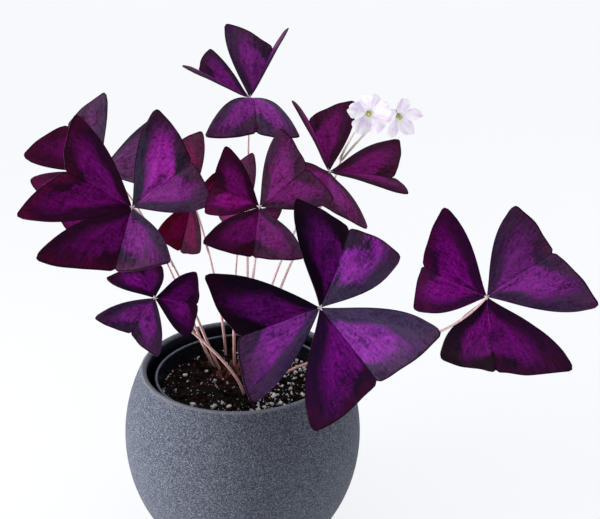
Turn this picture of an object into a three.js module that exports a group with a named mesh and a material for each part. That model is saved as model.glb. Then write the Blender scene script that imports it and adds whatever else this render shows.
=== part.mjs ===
// Purple shamrock (Oxalis triangularis) growing in a plastic nursery pot, which stands
// inside a round stoneware cover pot. Millimetres, +Z up, origin at the centre of the
// cover pot's base. The plant's full side faces -Y.

import * as THREE from 'three';

// ---------------------------------------------------------------- driving dimensions

const SEAT_GAP = 0.3; // clearance between pieces that rest on each other

const COVER_POT = {
  bellyRadius: 70,
  bellyHeight: 68, // height of the widest circle
  bellyRise: 82, // vertical half-axis of the body's ellipse
  height: 114,
  wall: 5,
  floor: 6,
  floorFillet: 3,
  footChamfer: 1.5,
  lipWidth: 4,
  lipHeight: 2, // height of the rounded lip above the body
  lipDepth: 12, // how far down the lip blends into the inner wall
  lipShoulder: 0.2, // the lip's outer rounding, as a share of its width and height
  lipInside: 0.9, // where its inner rounding starts, as a share of its width
  lipFall: 0.3, // how far it has fallen there, as a share of its height
  outsideSteps: 11,
  insideSteps: 7,
  segments: 48,
};

const NURSERY_POT = {
  rimRadius: 50.8,
  rimHeight: 108,
  rimDepth: 9, // height of the folded rim band
  neckRadius: 49.2,
  baseRadius: 35,
  rimChamfer: 0.5,
  wall: 1.2,
  floor: 1.6,
  drainRadius: 5,
  segments: 40,
};

const SOIL = {
  edgeHeight: 98,
  crownHeight: 100.5,
  rings: [0.7, 0.35], // the crowned surface's rings, as shares of its radius
};

const LEAFLET = {
  baseReach: 1.7, // distance from the hub to the leaflet's narrow end
  tipAngle: 38, // half angle of the blade at its outer edge, degrees
  sideBulge: 2.5, // power of the side edges' curve: larger is fuller
  lobeColumn: 0.88, // where each lobe is longest, as a share of the half blade
  lobePower: 1.2, // power of the outer edge's rise from the notch to the lobe
  shoulder: 0.86, // reach of the blade's corner beside the lobe, as a share of the lobe's
  thickness: 0.6,
  bow: 0.03, // usual rise of the blade between hub and notch, as a share of its length
};

const PETIOLE = { radius: 0.75, sides: 6, steps: 11 };
const PEDICEL = { radius: 0.55, sides: 6, steps: 6 };

const BLOOM = {
  petals: 5,
  petalWidth: 12,
  clawWidth: 1.5,
  petalFullness: 0.65, // how late the petal narrows, as a share of a half turn
  petalThickness: 0.4,
  petalRows: 4,
  petalColumns: 4,
  throatRadius: 1.5,
  mouthRadius: 12,
  flare: 1.6, // power of the petals' outward curve
  depth: 9,
  endRounding: 0.17, // how far a petal's corners stay behind its middle, as a share
  calyxRadius: 1.9,
  calyxDepth: 4,
  calyxFoot: 0.5, // the calyx's radius at its foot, as a share of its full radius
  calyxBelly: 0.9, // its radius where it rounds in
  calyxBellyDepth: 0.6, // and how deep that is, as a share of its depth
  calyxSegments: 10,
  pedicelStart: 0.3, // where the pedicel's first handle stands, as a share of its way
  pedicelArch: 3, // how far the pedicel bows upwards near the umbel
  pedicelApproach: 9, // length of its straight end behind the calyx
  styleRadius: 0.6,
  styleLength: 6,
  styleTaper: 0.8, // the style's radius at its end, as a share of that at its foot
  styleSegments: 8,
};

// ---------------------------------------------------------------- colours

const COLOURS = {
  stoneware: { color: 0x6a7078, roughness: 0.92, metalness: 0 },
  blackPlastic: { color: 0x15171b, roughness: 0.3, metalness: 0 },
  soil: { color: 0x2a1d18, roughness: 1, metalness: 0 },
  blade: { color: 0x5a1560, roughness: 0.55, metalness: 0 },
  stem: { color: 0xb98a94, roughness: 0.6, metalness: 0 },
  petal: { color: 0xe9dcf4, roughness: 0.6, metalness: 0 },
  green: { color: 0xa9b98c, roughness: 0.6, metalness: 0 },
};

// ---------------------------------------------------------------- where the leaves stand

// One leaflet: length from hub to notch; spin round the hub, clockwise from the leaf's
// upper side; droop away from the leaf's face; roll about the midrib; fold of each half
// below the midrib; reach of the left and right lobes, and rise of the blade between hub
// and notch, as shares of the length.
function leaflet(length, spin, droop, roll, fold, leftReach, rightReach, bow = LEAFLET.bow) {
  return { length, spin, droop, roll, fold, leftReach, rightReach, bow };
}

// One leaf: its hub, the turn of its face from -Y towards +X, the tilt of its face from
// level, the spread of its blades (their half angle near the hub) and its stem: the root's
// place on the soil, the way the stem first takes from the root, and the side it reaches
// the hub from, both as offsets of the curve's handles.
const LEAVES = {
  front: {
    hub: [43, -95, 190],
    turn: 25,
    tilt: 65,
    spread: 46,
    stem: { root: [12, 2], first: [0, 0, 45], last: [-12, 26, -14] },
    leaflets: [
      leaflet(44, 38, 15, 10, 5, 1.2, 1.55),
      leaflet(49, 145, 15, 15, 15, 1.55, 1.4),
      leaflet(40, 262, 0, 5, 10, 1.3, 1.35),
    ],
  },
  right: {
    hub: [139, -5, 157],
    turn: -20,
    tilt: 72,
    spread: 46,
    stem: { root: [16, -2], first: [20, 0, 30], last: [-32, 8, -50] },
    leaflets: [
      leaflet(48, 48, 30, -5, 15, 1.4, 1.45),
      leaflet(51, 170, 30, 5, 20, 1.5, 1.35),
      leaflet(44, 287, 20, -10, 20, 1.35, 1.45),
    ],
  },
  left: {
    hub: [-53, -23, 215],
    turn: 25,
    tilt: 70,
    spread: 46,
    stem: { root: [-14, 16], first: [-10, 0, 20], last: [15, 25, -25] },
    leaflets: [
      leaflet(41, 60, 5, 5, 20, 1.45, 1.25),
      leaflet(42, 212, -35, 20, -10, 1.1, 1.5),
      leaflet(38, 305, -5, -5, 20, 1.5, 1.45),
    ],
  },
  back_left: {
    hub: [-82, 35, 218],
    turn: -15,
    tilt: 65,
    spread: 42,
    stem: { root: [-18, 21], first: [-15, 0, 30], last: [20, 20, -10] },
    leaflets: [
      leaflet(34, 60, 5, -10, 20, 1.4, 1.25),
      leaflet(37, 230, 0, -5, 20, 1.3, 1.5),
      leaflet(40, 315, 10, -5, 5, 1.65, 1.3),
    ],
  },
  mid_left: {
    hub: [-29, 30, 203],
    turn: 0,
    tilt: 70,
    spread: 46,
    stem: { root: [-13, 37], first: [0, 0, 40], last: [0, 30, -15] },
    leaflets: [
      leaflet(31, 332, 5, 0, 15, 1.4, 1.4),
      leaflet(18, 75, 20, 45, 30, 1.3, 1.3),
      leaflet(30, 195, 10, -20, 45, 1.35, 1.1),
    ],
  },
  top: {
    hub: [5, 45, 260],
    turn: 15,
    tilt: 25,
    spread: 43,
    stem: { root: [2, 27], first: [0, 0, 50], last: [-2, 6, -20] },
    leaflets: [
      leaflet(39, 31, -20, -28, -34, 1.37, 1.16, 0),
      leaflet(37, 186, -3, -3, 2, 1.18, 1.29, 0.18),
      leaflet(32, 298, -20, 16, -12, 1.5, 1.28, 0),
    ],
  },
  centre: {
    hub: [13, -22, 215],
    turn: 0,
    tilt: 70,
    spread: 46,
    stem: { root: [2, 12], first: [0, 0, 40], last: [-1, 10, -25] },
    leaflets: [
      leaflet(31.5, 50, 10, 10, 20, 1.45, 1.4),
      leaflet(35, 185, -45, -5, -5, 1.25, 1.25),
      leaflet(26, 297, 5, -5, 25, 1.25, 1.5),
    ],
  },
  upper_right: {
    hub: [51, 35, 219],
    turn: 45,
    tilt: 35,
    spread: 43,
    stem: { root: [8, 20], first: [0, 0, 55], last: [-12, 12, -25] },
    leaflets: [
      leaflet(37, 15, -10, 10, -25, 1.25, 1.5),
      leaflet(38, 125, -15, -10, -10, 1.5, 1.3),
      leaflet(38, 235, -10, -10, -10, 1.35, 1.3),
    ],
  },
  low_left: {
    hub: [-43, -30, 167],
    turn: 40,
    tilt: 50,
    spread: 46,
    stem: { root: [2, -16], first: [0, 0, 20], last: [3, 30, -25] },
    leaflets: [
      leaflet(22, 5, 20, -5, 20, 1.4, 1.4),
      leaflet(26, 110, 10, 15, 20, 1.4, 1.3),
      leaflet(25, 235, 0, 5, 5, 1.3, 1.35),
    ],
  },
  inner: {
    hub: [4, 27, 197],
    turn: 0,
    tilt: 75,
    spread: 45,
    stem: { root: [-6, 18], first: [0, 0, 40], last: [-10, 20, -15] },
    leaflets: [
      leaflet(24, 330, 0, 0, 10, 1.05, 1.45),
      leaflet(16, 120, 10, 0, 25, 1.3, 1.2),
      leaflet(16, 230, 5, 0, 20, 1.2, 1.3),
    ],
  },
};

// The flower scape, the point where its umbel spreads, and the blooms. A bloom's turn and
// tilt are those of its open face, as for a leaf.
const SCAPE = {
  stem: { root: [13, 24], first: [0, 0, 60], last: [-6, 0, -30] },
  umbel: [58, 44, 224],
  umbelSpread: 0.8, // half the distance between the two pedicels at the umbel
};

const BLOOMS = {
  left: { throat: [71, 14, 257], turn: 0, tilt: 85, side: -1 },
  right: { throat: [88, 26, 254], turn: 15, tilt: 100, side: 1 },
};

// ---------------------------------------------------------------- helpers

const rad = THREE.MathUtils.degToRad;

function material(finish) {
  return new THREE.MeshStandardMaterial(finish);
}

function piece(name, geometry, finish) {
  const mesh = new THREE.Mesh(geometry, material(finish));
  mesh.name = name;
  return mesh;
}

// A closed thin sheet from a grid of points: point(row, column, side) gives the place on
// the upper (side 1) or lower (side -1) face.
function closedSheet(rows, columns, point) {
  const positions = [];
  for (const side of [1, -1]) {
    for (let row = 0; row <= rows; row += 1) {
      for (let column = 0; column <= columns; column += 1) {
        positions.push(...point(row, column, side).toArray());
      }
    }
  }
  const perFace = (rows + 1) * (columns + 1);
  const upper = (row, column) => row * (columns + 1) + column;
  const lower = (row, column) => perFace + upper(row, column);
  const index = [];
  const quad = (a, b, c, d) => index.push(a, b, c, a, c, d);
  for (let row = 0; row < rows; row += 1) {
    for (let column = 0; column < columns; column += 1) {
      const next = [row + 1, column + 1];
      quad(upper(row, column), upper(row, next[1]), upper(...next), upper(next[0], column));
      quad(lower(row, column), lower(next[0], column), lower(...next), lower(row, next[1]));
    }
  }
  for (let column = 0; column < columns; column += 1) {
    quad(lower(0, column), lower(0, column + 1), upper(0, column + 1), upper(0, column));
    quad(upper(rows, column), upper(rows, column + 1), lower(rows, column + 1), lower(rows, column));
  }
  for (let row = 0; row < rows; row += 1) {
    quad(lower(row + 1, 0), lower(row, 0), upper(row, 0), upper(row + 1, 0));
    quad(lower(row, columns), lower(row + 1, columns), upper(row + 1, columns), upper(row, columns));
  }
  const geometry = new THREE.BufferGeometry();
  geometry.setAttribute('position', new THREE.Float32BufferAttribute(positions, 3));
  geometry.setIndex(index);
  geometry.computeVertexNormals();
  return geometry;
}

// A solid of revolution about Z from a profile of [radius, height] points.
function turned(profile, segments) {
  const points = profile.map(([radius, height]) => new THREE.Vector2(radius, height));
  const geometry = new THREE.LatheGeometry(points, segments);
  geometry.rotateX(Math.PI / 2);
  return geometry;
}

// A round rod of constant radius along a curve.
function rod(curve, radius, sides, steps) {
  const section = new THREE.Shape();
  for (let side = 0; side < sides; side += 1) {
    const angle = (side / sides) * 2 * Math.PI;
    const corner = [radius * Math.cos(angle), radius * Math.sin(angle)];
    if (side === 0) section.moveTo(...corner);
    else section.lineTo(...corner);
  }
  return new THREE.ExtrudeGeometry(section, {
    steps,
    bevelEnabled: false,
    extrudePath: curve,
  });
}

// ---------------------------------------------------------------- pots and soil

// Radius of the cover pot's elliptical body at a height, set in by a wall thickness.
function bodyRadius(height, inset) {
  const share = (height - COVER_POT.bellyHeight) / (COVER_POT.bellyRise - inset);
  return (COVER_POT.bellyRadius - inset) * Math.sqrt(1 - share * share);
}

function bodyStretch(from, to, steps, inset) {
  const points = [];
  for (let step = 0; step <= steps; step += 1) {
    const height = from + ((to - from) * step) / steps;
    points.push([bodyRadius(height, inset), height]);
  }
  return points;
}

function coverPot() {
  const { height, wall, floor, floorFillet, footChamfer, outsideSteps, insideSteps } = COVER_POT;
  const { lipWidth, lipHeight, lipDepth, lipShoulder, lipInside, lipFall } = COVER_POT;
  const lipFoot = height - lipHeight;
  const outerRim = bodyRadius(lipFoot, 0);
  const profile = [
    [0, 0],
    [bodyRadius(footChamfer, 0) - footChamfer, 0],
    ...bodyStretch(footChamfer, lipFoot, outsideSteps, 0),
    [outerRim - lipWidth * lipShoulder, height - lipHeight * lipShoulder],
    [outerRim - lipWidth * 0.5, height],
    [outerRim - lipWidth * lipInside, height - lipHeight * lipFall],
    [outerRim - lipWidth, height - lipHeight],
    ...bodyStretch(height - lipDepth, floor + floorFillet, insideSteps, wall),
    [bodyRadius(floor, wall) - floorFillet, floor],
    [0, floor],
  ];
  return piece('cover_pot', turned(profile, COVER_POT.segments), COLOURS.stoneware);
}

// Outer radius of the nursery pot's tapered wall at a height.
function taperRadius(height) {
  const { baseRadius, neckRadius, rimHeight, rimDepth } = NURSERY_POT;
  const foot = COVER_POT.floor + SEAT_GAP;
  const share = (height - foot) / (rimHeight - rimDepth - foot);
  return baseRadius + (neckRadius - baseRadius) * Math.min(share, 1);
}

function nurseryPot() {
  const { rimRadius, rimHeight, rimDepth, rimChamfer } = NURSERY_POT;
  const { neckRadius, baseRadius, wall, floor, drainRadius, segments } = NURSERY_POT;
  const foot = COVER_POT.floor + SEAT_GAP;
  const neck = rimHeight - rimDepth;
  const profile = [
    [drainRadius, foot],
    [baseRadius, foot],
    [neckRadius, neck],
    [rimRadius, neck + rimChamfer],
    [rimRadius, rimHeight - rimChamfer],
    [rimRadius - rimChamfer, rimHeight],
    [rimRadius - wall, rimHeight - rimChamfer * 0.5],
    [neckRadius - wall, neck - rimChamfer],
    [baseRadius - wall, foot + floor],
    [drainRadius, foot + floor],
    [drainRadius, foot],
  ];
  return piece('nursery_pot', turned(profile, segments), COLOURS.blackPlastic);
}

// Height of the soil's gently crowned surface at a distance from the pot's axis.
function soilHeight(distance) {
  const share = distance / (NURSERY_POT.neckRadius - NURSERY_POT.wall);
  return SOIL.crownHeight - (SOIL.crownHeight - SOIL.edgeHeight) * share * share;
}

function soil() {
  const { baseRadius, neckRadius, wall, floor } = NURSERY_POT;
  const bottom = COVER_POT.floor + SEAT_GAP + floor + SEAT_GAP;
  const bottomRadius = baseRadius - wall - 2 * SEAT_GAP;
  const topRadius = taperRadius(SOIL.edgeHeight) - wall - 2 * SEAT_GAP;
  const profile = [
    [0, bottom],
    [bottomRadius, bottom],
    [topRadius, SOIL.edgeHeight],
    ...SOIL.rings.map((share) => [topRadius * share, soilHeight(neckRadius * share)]),
    [0, SOIL.crownHeight],
  ];
  return piece('potting_soil', turned(profile, NURSERY_POT.segments), COLOURS.soil);
}

// ---------------------------------------------------------------- leaves

// Columns run across the blade from the left edge (-1) to the right edge (1).
const COLUMNS = [-1, -0.88, -0.6, -0.28, 0, 0.28, 0.6, 0.88, 1];
const ROWS = [0, 0.3, 0.6, 0.85, 1];

// Distance from the hub to the blade's outer edge, as a share of its length: lowest at the
// notch, longest in the lobe and drawn in again where the lobe rounds into the side edge.
function outlineReach(column, lobeReach) {
  const { lobeColumn, lobePower, shoulder } = LEAFLET;
  const across = Math.abs(column);
  if (across > lobeColumn) return lobeReach * shoulder;
  return 1 + (lobeReach - 1) * (across / lobeColumn) ** lobePower;
}

// Half angle of the blade at a share of its reach: widest near the hub.
function halfAngle(along, spread) {
  const { tipAngle, sideBulge } = LEAFLET;
  return rad(tipAngle + (spread - tipAngle) * (1 - along ** sideBulge));
}

// The blade lies along +Y with its upper face towards +Z, folded along its midrib.
function bladeGeometry(spec, spread) {
  const { baseReach, thickness } = LEAFLET;
  const fold = rad(spec.fold);
  return closedSheet(ROWS.length - 1, COLUMNS.length - 1, (rowIndex, columnIndex, side) => {
    const column = COLUMNS[columnIndex];
    const along = ROWS[rowIndex];
    const lobeReach = column < 0 ? spec.leftReach : spec.rightReach;
    const outer = spec.length * outlineReach(column, lobeReach);
    const reach = baseReach + (outer - baseReach) * along;
    const angle = column * halfAngle(along, spread);
    const across = reach * Math.sin(angle);
    const lift = spec.bow * spec.length * Math.sin(Math.PI * along);
    const half = side * thickness * 0.5;
    const lean = Math.sign(column) * fold;
    return new THREE.Vector3(
      across * Math.cos(fold) + half * Math.sin(lean),
      reach * Math.cos(angle),
      lift - Math.abs(across) * Math.sin(fold) + half * Math.cos(lean),
    );
  });
}

// The line of a stem from its root on the soil to its top.
function stemCurve(stem, top) {
  const { root, first, last } = stem;
  const lean = Math.hypot(first[0], first[1]) / Math.hypot(...first);
  const height = soilHeight(Math.hypot(...root)) + SEAT_GAP + lean * PETIOLE.radius;
  const start = new THREE.Vector3(root[0], root[1], height);
  const end = new THREE.Vector3(...top);
  return new THREE.CubicBezierCurve3(
    start,
    start.clone().add(new THREE.Vector3(...first)),
    end.clone().add(new THREE.Vector3(...last)),
    end,
  );
}

function leafStem(name, { stem, hub }) {
  const curve = stemCurve(stem, hub);
  return piece(`petiole_${name}`, rod(curve, PETIOLE.radius, PETIOLE.sides, PETIOLE.steps), COLOURS.stem);
}

function addLeaf(plant, name, leaf) {
  const group = new THREE.Group();
  group.position.set(...leaf.hub);
  group.rotation.set(rad(leaf.tilt), 0, rad(leaf.turn), 'ZXY');
  leaf.leaflets.forEach((spec, index) => {
    const geometry = bladeGeometry(spec, leaf.spread);
    const blade = piece(`leaf_${name}_leaflet_${index + 1}`, geometry, COLOURS.blade);
    blade.rotation.set(rad(-spec.droop), rad(spec.roll), rad(-spec.spin), 'ZXY');
    group.add(blade);
  });
  plant.add(group);
  plant.add(leafStem(name, leaf));
}

// ---------------------------------------------------------------- flowers

// How far the petals stand from the bloom's axis at a share of their way to the mouth.
function petalReach(share) {
  const { throatRadius, mouthRadius, flare } = BLOOM;
  return throatRadius + (mouthRadius - throatRadius) * share ** flare;
}

// The petal lies along +Y and opens from a narrow claw to a rounded, outward-curving end.
// Its corners stay clear of the neighbouring petals.
function petalGeometry() {
  const { petals, petalWidth, clawWidth, petalFullness, petalThickness } = BLOOM;
  const { depth, endRounding, petalRows, petalColumns } = BLOOM;
  return closedSheet(petalRows, petalColumns, (row, column, side) => {
    const share = row / petalRows;
    const across = (column / petalColumns) * 2 - 1;
    const along = share * (1 - endRounding * across * across);
    const free = petalReach(share * (1 - endRounding)) * Math.tan(Math.PI / petals) - SEAT_GAP;
    const full = clawWidth + (petalWidth - clawWidth) * Math.sin(share * petalFullness * Math.PI);
    const half = side * petalThickness * 0.5;
    return new THREE.Vector3(
      Math.min(full * 0.5, free) * across,
      petalReach(along) - half * (1 - share),
      petalThickness + depth * Math.sin(along * 0.5 * Math.PI) + half * share,
    );
  });
}

function calyxGeometry() {
  const { calyxRadius, calyxDepth, calyxFoot, calyxBelly, calyxBellyDepth } = BLOOM;
  return turned([
    [0, -calyxDepth],
    [calyxRadius * calyxFoot, -calyxDepth],
    [calyxRadius * calyxBelly, -calyxDepth * calyxBellyDepth],
    [calyxRadius, 0],
    [0, 0],
  ], BLOOM.calyxSegments);
}

function styleGeometry() {
  const { styleRadius, styleLength, styleTaper } = BLOOM;
  return turned([
    [0, SEAT_GAP],
    [styleRadius, SEAT_GAP],
    [styleRadius * styleTaper, styleLength],
    [0, styleLength + styleRadius],
  ], BLOOM.styleSegments);
}

// The umbel's stalk reaches from beside the scape's top to the foot of its bloom's calyx.
function pedicel(name, bloom, group) {
  const { calyxDepth, pedicelStart, pedicelArch, pedicelApproach } = BLOOM;
  const axis = new THREE.Vector3(0, 0, 1).applyEuler(group.rotation);
  const foot = group.position.clone().addScaledVector(axis, -calyxDepth - SEAT_GAP);
  const start = new THREE.Vector3(...SCAPE.umbel);
  start.x += bloom.side * SCAPE.umbelSpread;
  start.z += 2 * SEAT_GAP;
  const curve = new THREE.CubicBezierCurve3(
    start,
    start.clone().lerp(foot, pedicelStart).add(new THREE.Vector3(0, 0, pedicelArch)),
    foot.clone().addScaledVector(axis, -pedicelApproach),
    foot,
  );
  return piece(`pedicel_${name}`, rod(curve, PEDICEL.radius, PEDICEL.sides, PEDICEL.steps), COLOURS.green);
}

function addBloom(plant, name, bloom) {
  const group = new THREE.Group();
  group.position.set(...bloom.throat);
  group.rotation.set(rad(bloom.tilt), 0, rad(bloom.turn), 'ZXY');
  for (let count = 0; count < BLOOM.petals; count += 1) {
    const petal = piece(`bloom_${name}_petal_${count + 1}`, petalGeometry(), COLOURS.petal);
    petal.rotation.z = (count / BLOOM.petals) * 2 * Math.PI;
    group.add(petal);
  }
  group.add(piece(`bloom_${name}_calyx`, calyxGeometry(), COLOURS.green));
  group.add(piece(`bloom_${name}_style`, styleGeometry(), COLOURS.green));
  plant.add(group);
  plant.add(pedicel(name, bloom, group));
}

function scape() {
  const curve = stemCurve(SCAPE.stem, SCAPE.umbel);
  return piece('scape', rod(curve, PETIOLE.radius, PETIOLE.sides, PETIOLE.steps), COLOURS.stem);
}

// ---------------------------------------------------------------- assembly

const plant = new THREE.Group();
plant.add(coverPot());
plant.add(nurseryPot());
plant.add(soil());
for (const [name, leaf] of Object.entries(LEAVES)) addLeaf(plant, name, leaf);
plant.add(scape());
for (const [name, bloom] of Object.entries(BLOOMS)) addBloom(plant, name, bloom);

export default plant;
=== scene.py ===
"""Looks of a purple shamrock in its two pots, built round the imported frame.

Lengths in the tables are millimetres, as on a maker's drawing, and become metres where a
piece is made. +Z is up, the plant's full side faces -Y, and the pot's base centre is the origin.
"""

from __future__ import annotations

import sys
import logging
import math
import random
from abc import ABC, abstractmethod
from collections.abc import Callable
from dataclasses import astuple, dataclass, field
from enum import Enum
from functools import partial, reduce

import bpy
import numpy as np
from mathutils import Matrix, Vector, noise


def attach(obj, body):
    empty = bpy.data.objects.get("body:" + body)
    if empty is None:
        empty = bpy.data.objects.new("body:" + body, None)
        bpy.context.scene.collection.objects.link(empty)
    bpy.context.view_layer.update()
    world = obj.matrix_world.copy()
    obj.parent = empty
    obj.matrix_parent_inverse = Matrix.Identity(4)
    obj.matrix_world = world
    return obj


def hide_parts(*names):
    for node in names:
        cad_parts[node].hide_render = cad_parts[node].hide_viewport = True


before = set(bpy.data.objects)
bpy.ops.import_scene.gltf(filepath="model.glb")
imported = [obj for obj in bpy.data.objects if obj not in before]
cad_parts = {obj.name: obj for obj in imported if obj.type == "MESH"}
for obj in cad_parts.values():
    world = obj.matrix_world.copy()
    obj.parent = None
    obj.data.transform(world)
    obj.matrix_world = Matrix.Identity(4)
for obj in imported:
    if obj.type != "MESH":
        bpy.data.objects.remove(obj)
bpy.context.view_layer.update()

LOG = logging.getLogger("shamrock")
MM = 0.001
BODY = "root"
SEED = 41
ABOUT_A_TURN = 6.28

Colour = tuple[float, float, float, float]
Point = tuple[float, float, float]
Spot = tuple[float, float]
Piece = bpy.types.Object
Material = bpy.types.Material
Socket = bpy.types.NodeSocket


class Slot(Enum):
    """The record's material slots."""

    STONEWARE = "stoneware"
    BLACK_PLASTIC = "black_plastic"
    SOIL = "soil"
    BLADE = "blade"
    STEM = "stem"
    PETAL = "petal"
    GREEN = "green"


class Hand(Enum):
    """The side of the umbel on which a bloom stands."""

    LEFT = -1
    RIGHT = 1


class BladeFace(Enum):
    """A blade's material slots, in their order."""

    UPPER = 0
    UNDER = 1
    RIM = 2


class PotFace(Enum):
    """The cover pot's material slots, in their order."""

    OUTSIDE = 0
    INSIDE = 1


@dataclass(frozen=True)
class Look:
    """How half a blade looks.

    Ground and patch are the brightness of its two colours, which paint light and shade:
    a half is painted lighter or darker by how it faces the light. Bloom is its share of a
    painted silvery sheen, a painted reflection near the hub, and far is how much of that is
    left at the outer edge. Shift moves the patch outwards by a share of the blade's length.
    """

    ground: float
    patch: float
    bloom: float = 0.0
    far: float = 1.0
    shift: float = 0.0


class PaintedLight(Enum):
    """The painted light, shade and sheen that half a blade can have."""

    INKY = Look(0.24, 0.44)
    BARE = Look(0.36, 0.18)
    DEEP = Look(0.74, 0.54)
    PLAIN = Look(0.68, 0.76, 0.01)
    EVEN = Look(1.15, 0.58, 0.07)
    CLEAR = Look(1.05, 1.05, 0.05)
    DUSKY = Look(0.86, 1.45, 0.21, 0.2, 0.17)
    VIVID = Look(0.50, 2.60, 0.26, 0.3)
    SATIN = Look(1.30, 1.32, 0.14)
    MISTY = Look(0.60, 0.38, 0.16, 0.9)
    ROSY = Look(2.50, 2.20, 0.26)
    SILVER = Look(1.35, 2.00, 0.27, 0.8)


# ------------------------------------------------------------------ working by hand


def linear(value: float) -> float:
    """Return the linear light of an 8-bit screen value."""
    share = value / 255
    return ((share + 0.055) / 1.055) ** 2.4 if value > 10 else share / 12.92


def rgb(red: float, green: float, blue: float) -> Colour:
    """Return a linear colour from its 8-bit screen values."""
    return linear(red), linear(green), linear(blue), 1.0


def metres(point: Point) -> Vector:
    """Return a point of the tables, in metres."""
    return Vector(point) * MM


def turn_about(axis: str, degrees: float) -> Matrix:
    """Return a turn about an axis."""
    return Matrix.Rotation(math.radians(degrees), 4, axis)


def part_turn(count: float, parts: int) -> Matrix:
    """Return a turn about Z by a count of the equal parts of a whole turn."""
    return Matrix.Rotation(2 * math.pi * count / parts, 4, "Z")


def standing(point: Point, turn: float, tilt: float) -> Matrix:
    """Return the place of what is tilted about X, turned about Z and set at a point."""
    return Matrix.Translation(metres(point)) @ turn_about("Z", turn) @ turn_about("X", tilt)


def rows(*columns: np.ndarray) -> np.ndarray:
    """Return points, one row each, from the columns of their coordinates."""
    return np.stack(columns, 1)


def worn(*names: str) -> list[Material]:
    """Return the finishes of these names."""
    return [bpy.data.materials[name] for name in names]


def deselect() -> None:
    """Leave edit mode and deselect every object."""
    if bpy.context.object is not None and bpy.context.object.mode != "OBJECT":
        bpy.ops.object.mode_set(mode="OBJECT")
    bpy.ops.object.select_all(action="DESELECT")


def take(piece: Piece) -> None:
    """Select one piece alone and make it the active one.

    Args:
        piece: The object to work on.
    """
    deselect()
    piece.select_set(True)
    bpy.context.view_layer.objects.active = piece


def modify(piece: Piece, kind: str, **settings: object) -> None:
    """Add a modifier to a piece and apply it.

    Args:
        piece: The object to change.
        kind: Blender's name of the modifier.
        settings: The modifier's own settings.
    """
    take(piece)
    modifier = piece.modifiers.new(kind.lower(), kind)
    for key, value in settings.items():
        setattr(modifier, key, value)
    bpy.ops.object.modifier_apply(modifier=modifier.name)


def place(piece: Piece, matrix: Matrix) -> None:
    """Put a piece where it belongs, with its place in its mesh.

    Args:
        piece: The object, modelled round its own origin.
        matrix: Its place in the frame.
    """
    take(piece)
    piece.matrix_world = matrix
    bpy.ops.object.transform_apply(location=True, rotation=True, scale=True)


def join(pieces: list[Piece]) -> Piece:
    """Join pieces into the first of them.

    Args:
        pieces: The objects to join.

    Returns:
        The first object, which now holds them all.
    """
    take(pieces[0])
    for piece in pieces[1:]:
        piece.select_set(True)
    bpy.ops.object.join()
    return pieces[0]


def smooth(piece: Piece, angle: float) -> None:
    """Shade a piece smooth, apart from edges sharper than an angle in degrees."""
    take(piece)
    bpy.ops.object.shade_smooth_by_angle(angle=math.radians(angle))


def weld(gap: float) -> None:
    """Merge the active piece's doubled points and turn its faces outwards.

    Args:
        gap: Distance under which points are merged, in millimetres.
    """
    bpy.ops.object.mode_set(mode="EDIT")
    bpy.ops.mesh.select_all(action="SELECT")
    bpy.ops.mesh.remove_doubles(threshold=gap * MM)
    bpy.ops.mesh.normals_make_consistent(inside=False)
    bpy.ops.object.mode_set(mode="OBJECT")


def remake(piece: Piece, places: list[Point], faces: list[tuple[int, ...]]) -> None:
    """Give a piece a new mesh.

    Args:
        piece: The object to change.
        places: The new vertices, in metres.
        faces: The new faces, each as the numbers of its vertices.
    """
    piece.data.clear_geometry()
    piece.data.from_pydata(places, [], faces)
    piece.data.update()


def settle(
    piece: Piece, name: str, finishes: list[Material], nodes: tuple[str, ...] = ()
) -> Piece:
    """Name a finished piece, dress it and tie it to the frame.

    Args:
        piece: The finished object.
        name: The piece's name.
        finishes: Its materials, in the order of its faces' slots, or none to keep its own.
        nodes: The CAD nodes that it stands for.

    Returns:
        The same object.
    """
    piece.name = name
    piece.data.name = name
    if finishes:
        piece.data.materials.clear()
        for finish in finishes:
            piece.data.materials.append(finish)
    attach(piece, BODY)
    if nodes:
        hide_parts(*nodes)
    return piece


def spun(profile: list[Spot], steps: int) -> Piece:
    """Turn a profile of (radius, height) points once round Z, as on a potter's wheel.

    Args:
        profile: Points in millimetres, from the axis or round back to the first.
        steps: Number of steps in the turn.

    Returns:
        The turned object, closed and with its faces pointing outwards.
    """
    deselect()
    bpy.ops.mesh.primitive_plane_add(size=1, enter_editmode=True)
    bpy.ops.mesh.select_all(action="SELECT")
    bpy.ops.mesh.delete(type="VERT")
    bpy.ops.object.mode_set(mode="OBJECT")
    shell = bpy.context.object
    points = [(radius * MM, 0.0, height * MM) for radius, height in profile]
    shell.data.from_pydata(points, [(n, n + 1) for n in range(len(points) - 1)], [])
    shell.data.update()
    bpy.ops.object.mode_set(mode="EDIT")
    bpy.ops.mesh.select_all(action="SELECT")
    bpy.ops.mesh.spin(steps=steps, angle=2 * math.pi, center=(0, 0, 0), axis=(0, 0, 1))
    weld(0.02)
    return shell


def sheet_grid(columns: int, lines: int) -> Piece:
    """Add a flat grid from -1 to 1 each way, ready to be shaped.

    Args:
        columns: Number of cells across.
        lines: Number of cells along.

    Returns:
        The grid, which keeps its flat place in its UV map.
    """
    deselect()
    bpy.ops.mesh.primitive_grid_add(x_subdivisions=columns, y_subdivisions=lines, size=2)
    return bpy.context.object


def grid_places(piece: Piece) -> np.ndarray:
    """Read the places of a piece's vertices.

    Args:
        piece: The object to read.

    Returns:
        The places, one row each.
    """
    places = np.zeros(len(piece.data.vertices) * 3, np.float32)
    piece.data.vertices.foreach_get("co", places)
    return places.reshape(-1, 3).astype(float)


def set_places(piece: Piece, places: np.ndarray) -> None:
    """Move a piece's vertices to new places, one row each."""
    piece.data.vertices.foreach_set("co", places.astype(np.float32).ravel())
    piece.data.update()


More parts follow.
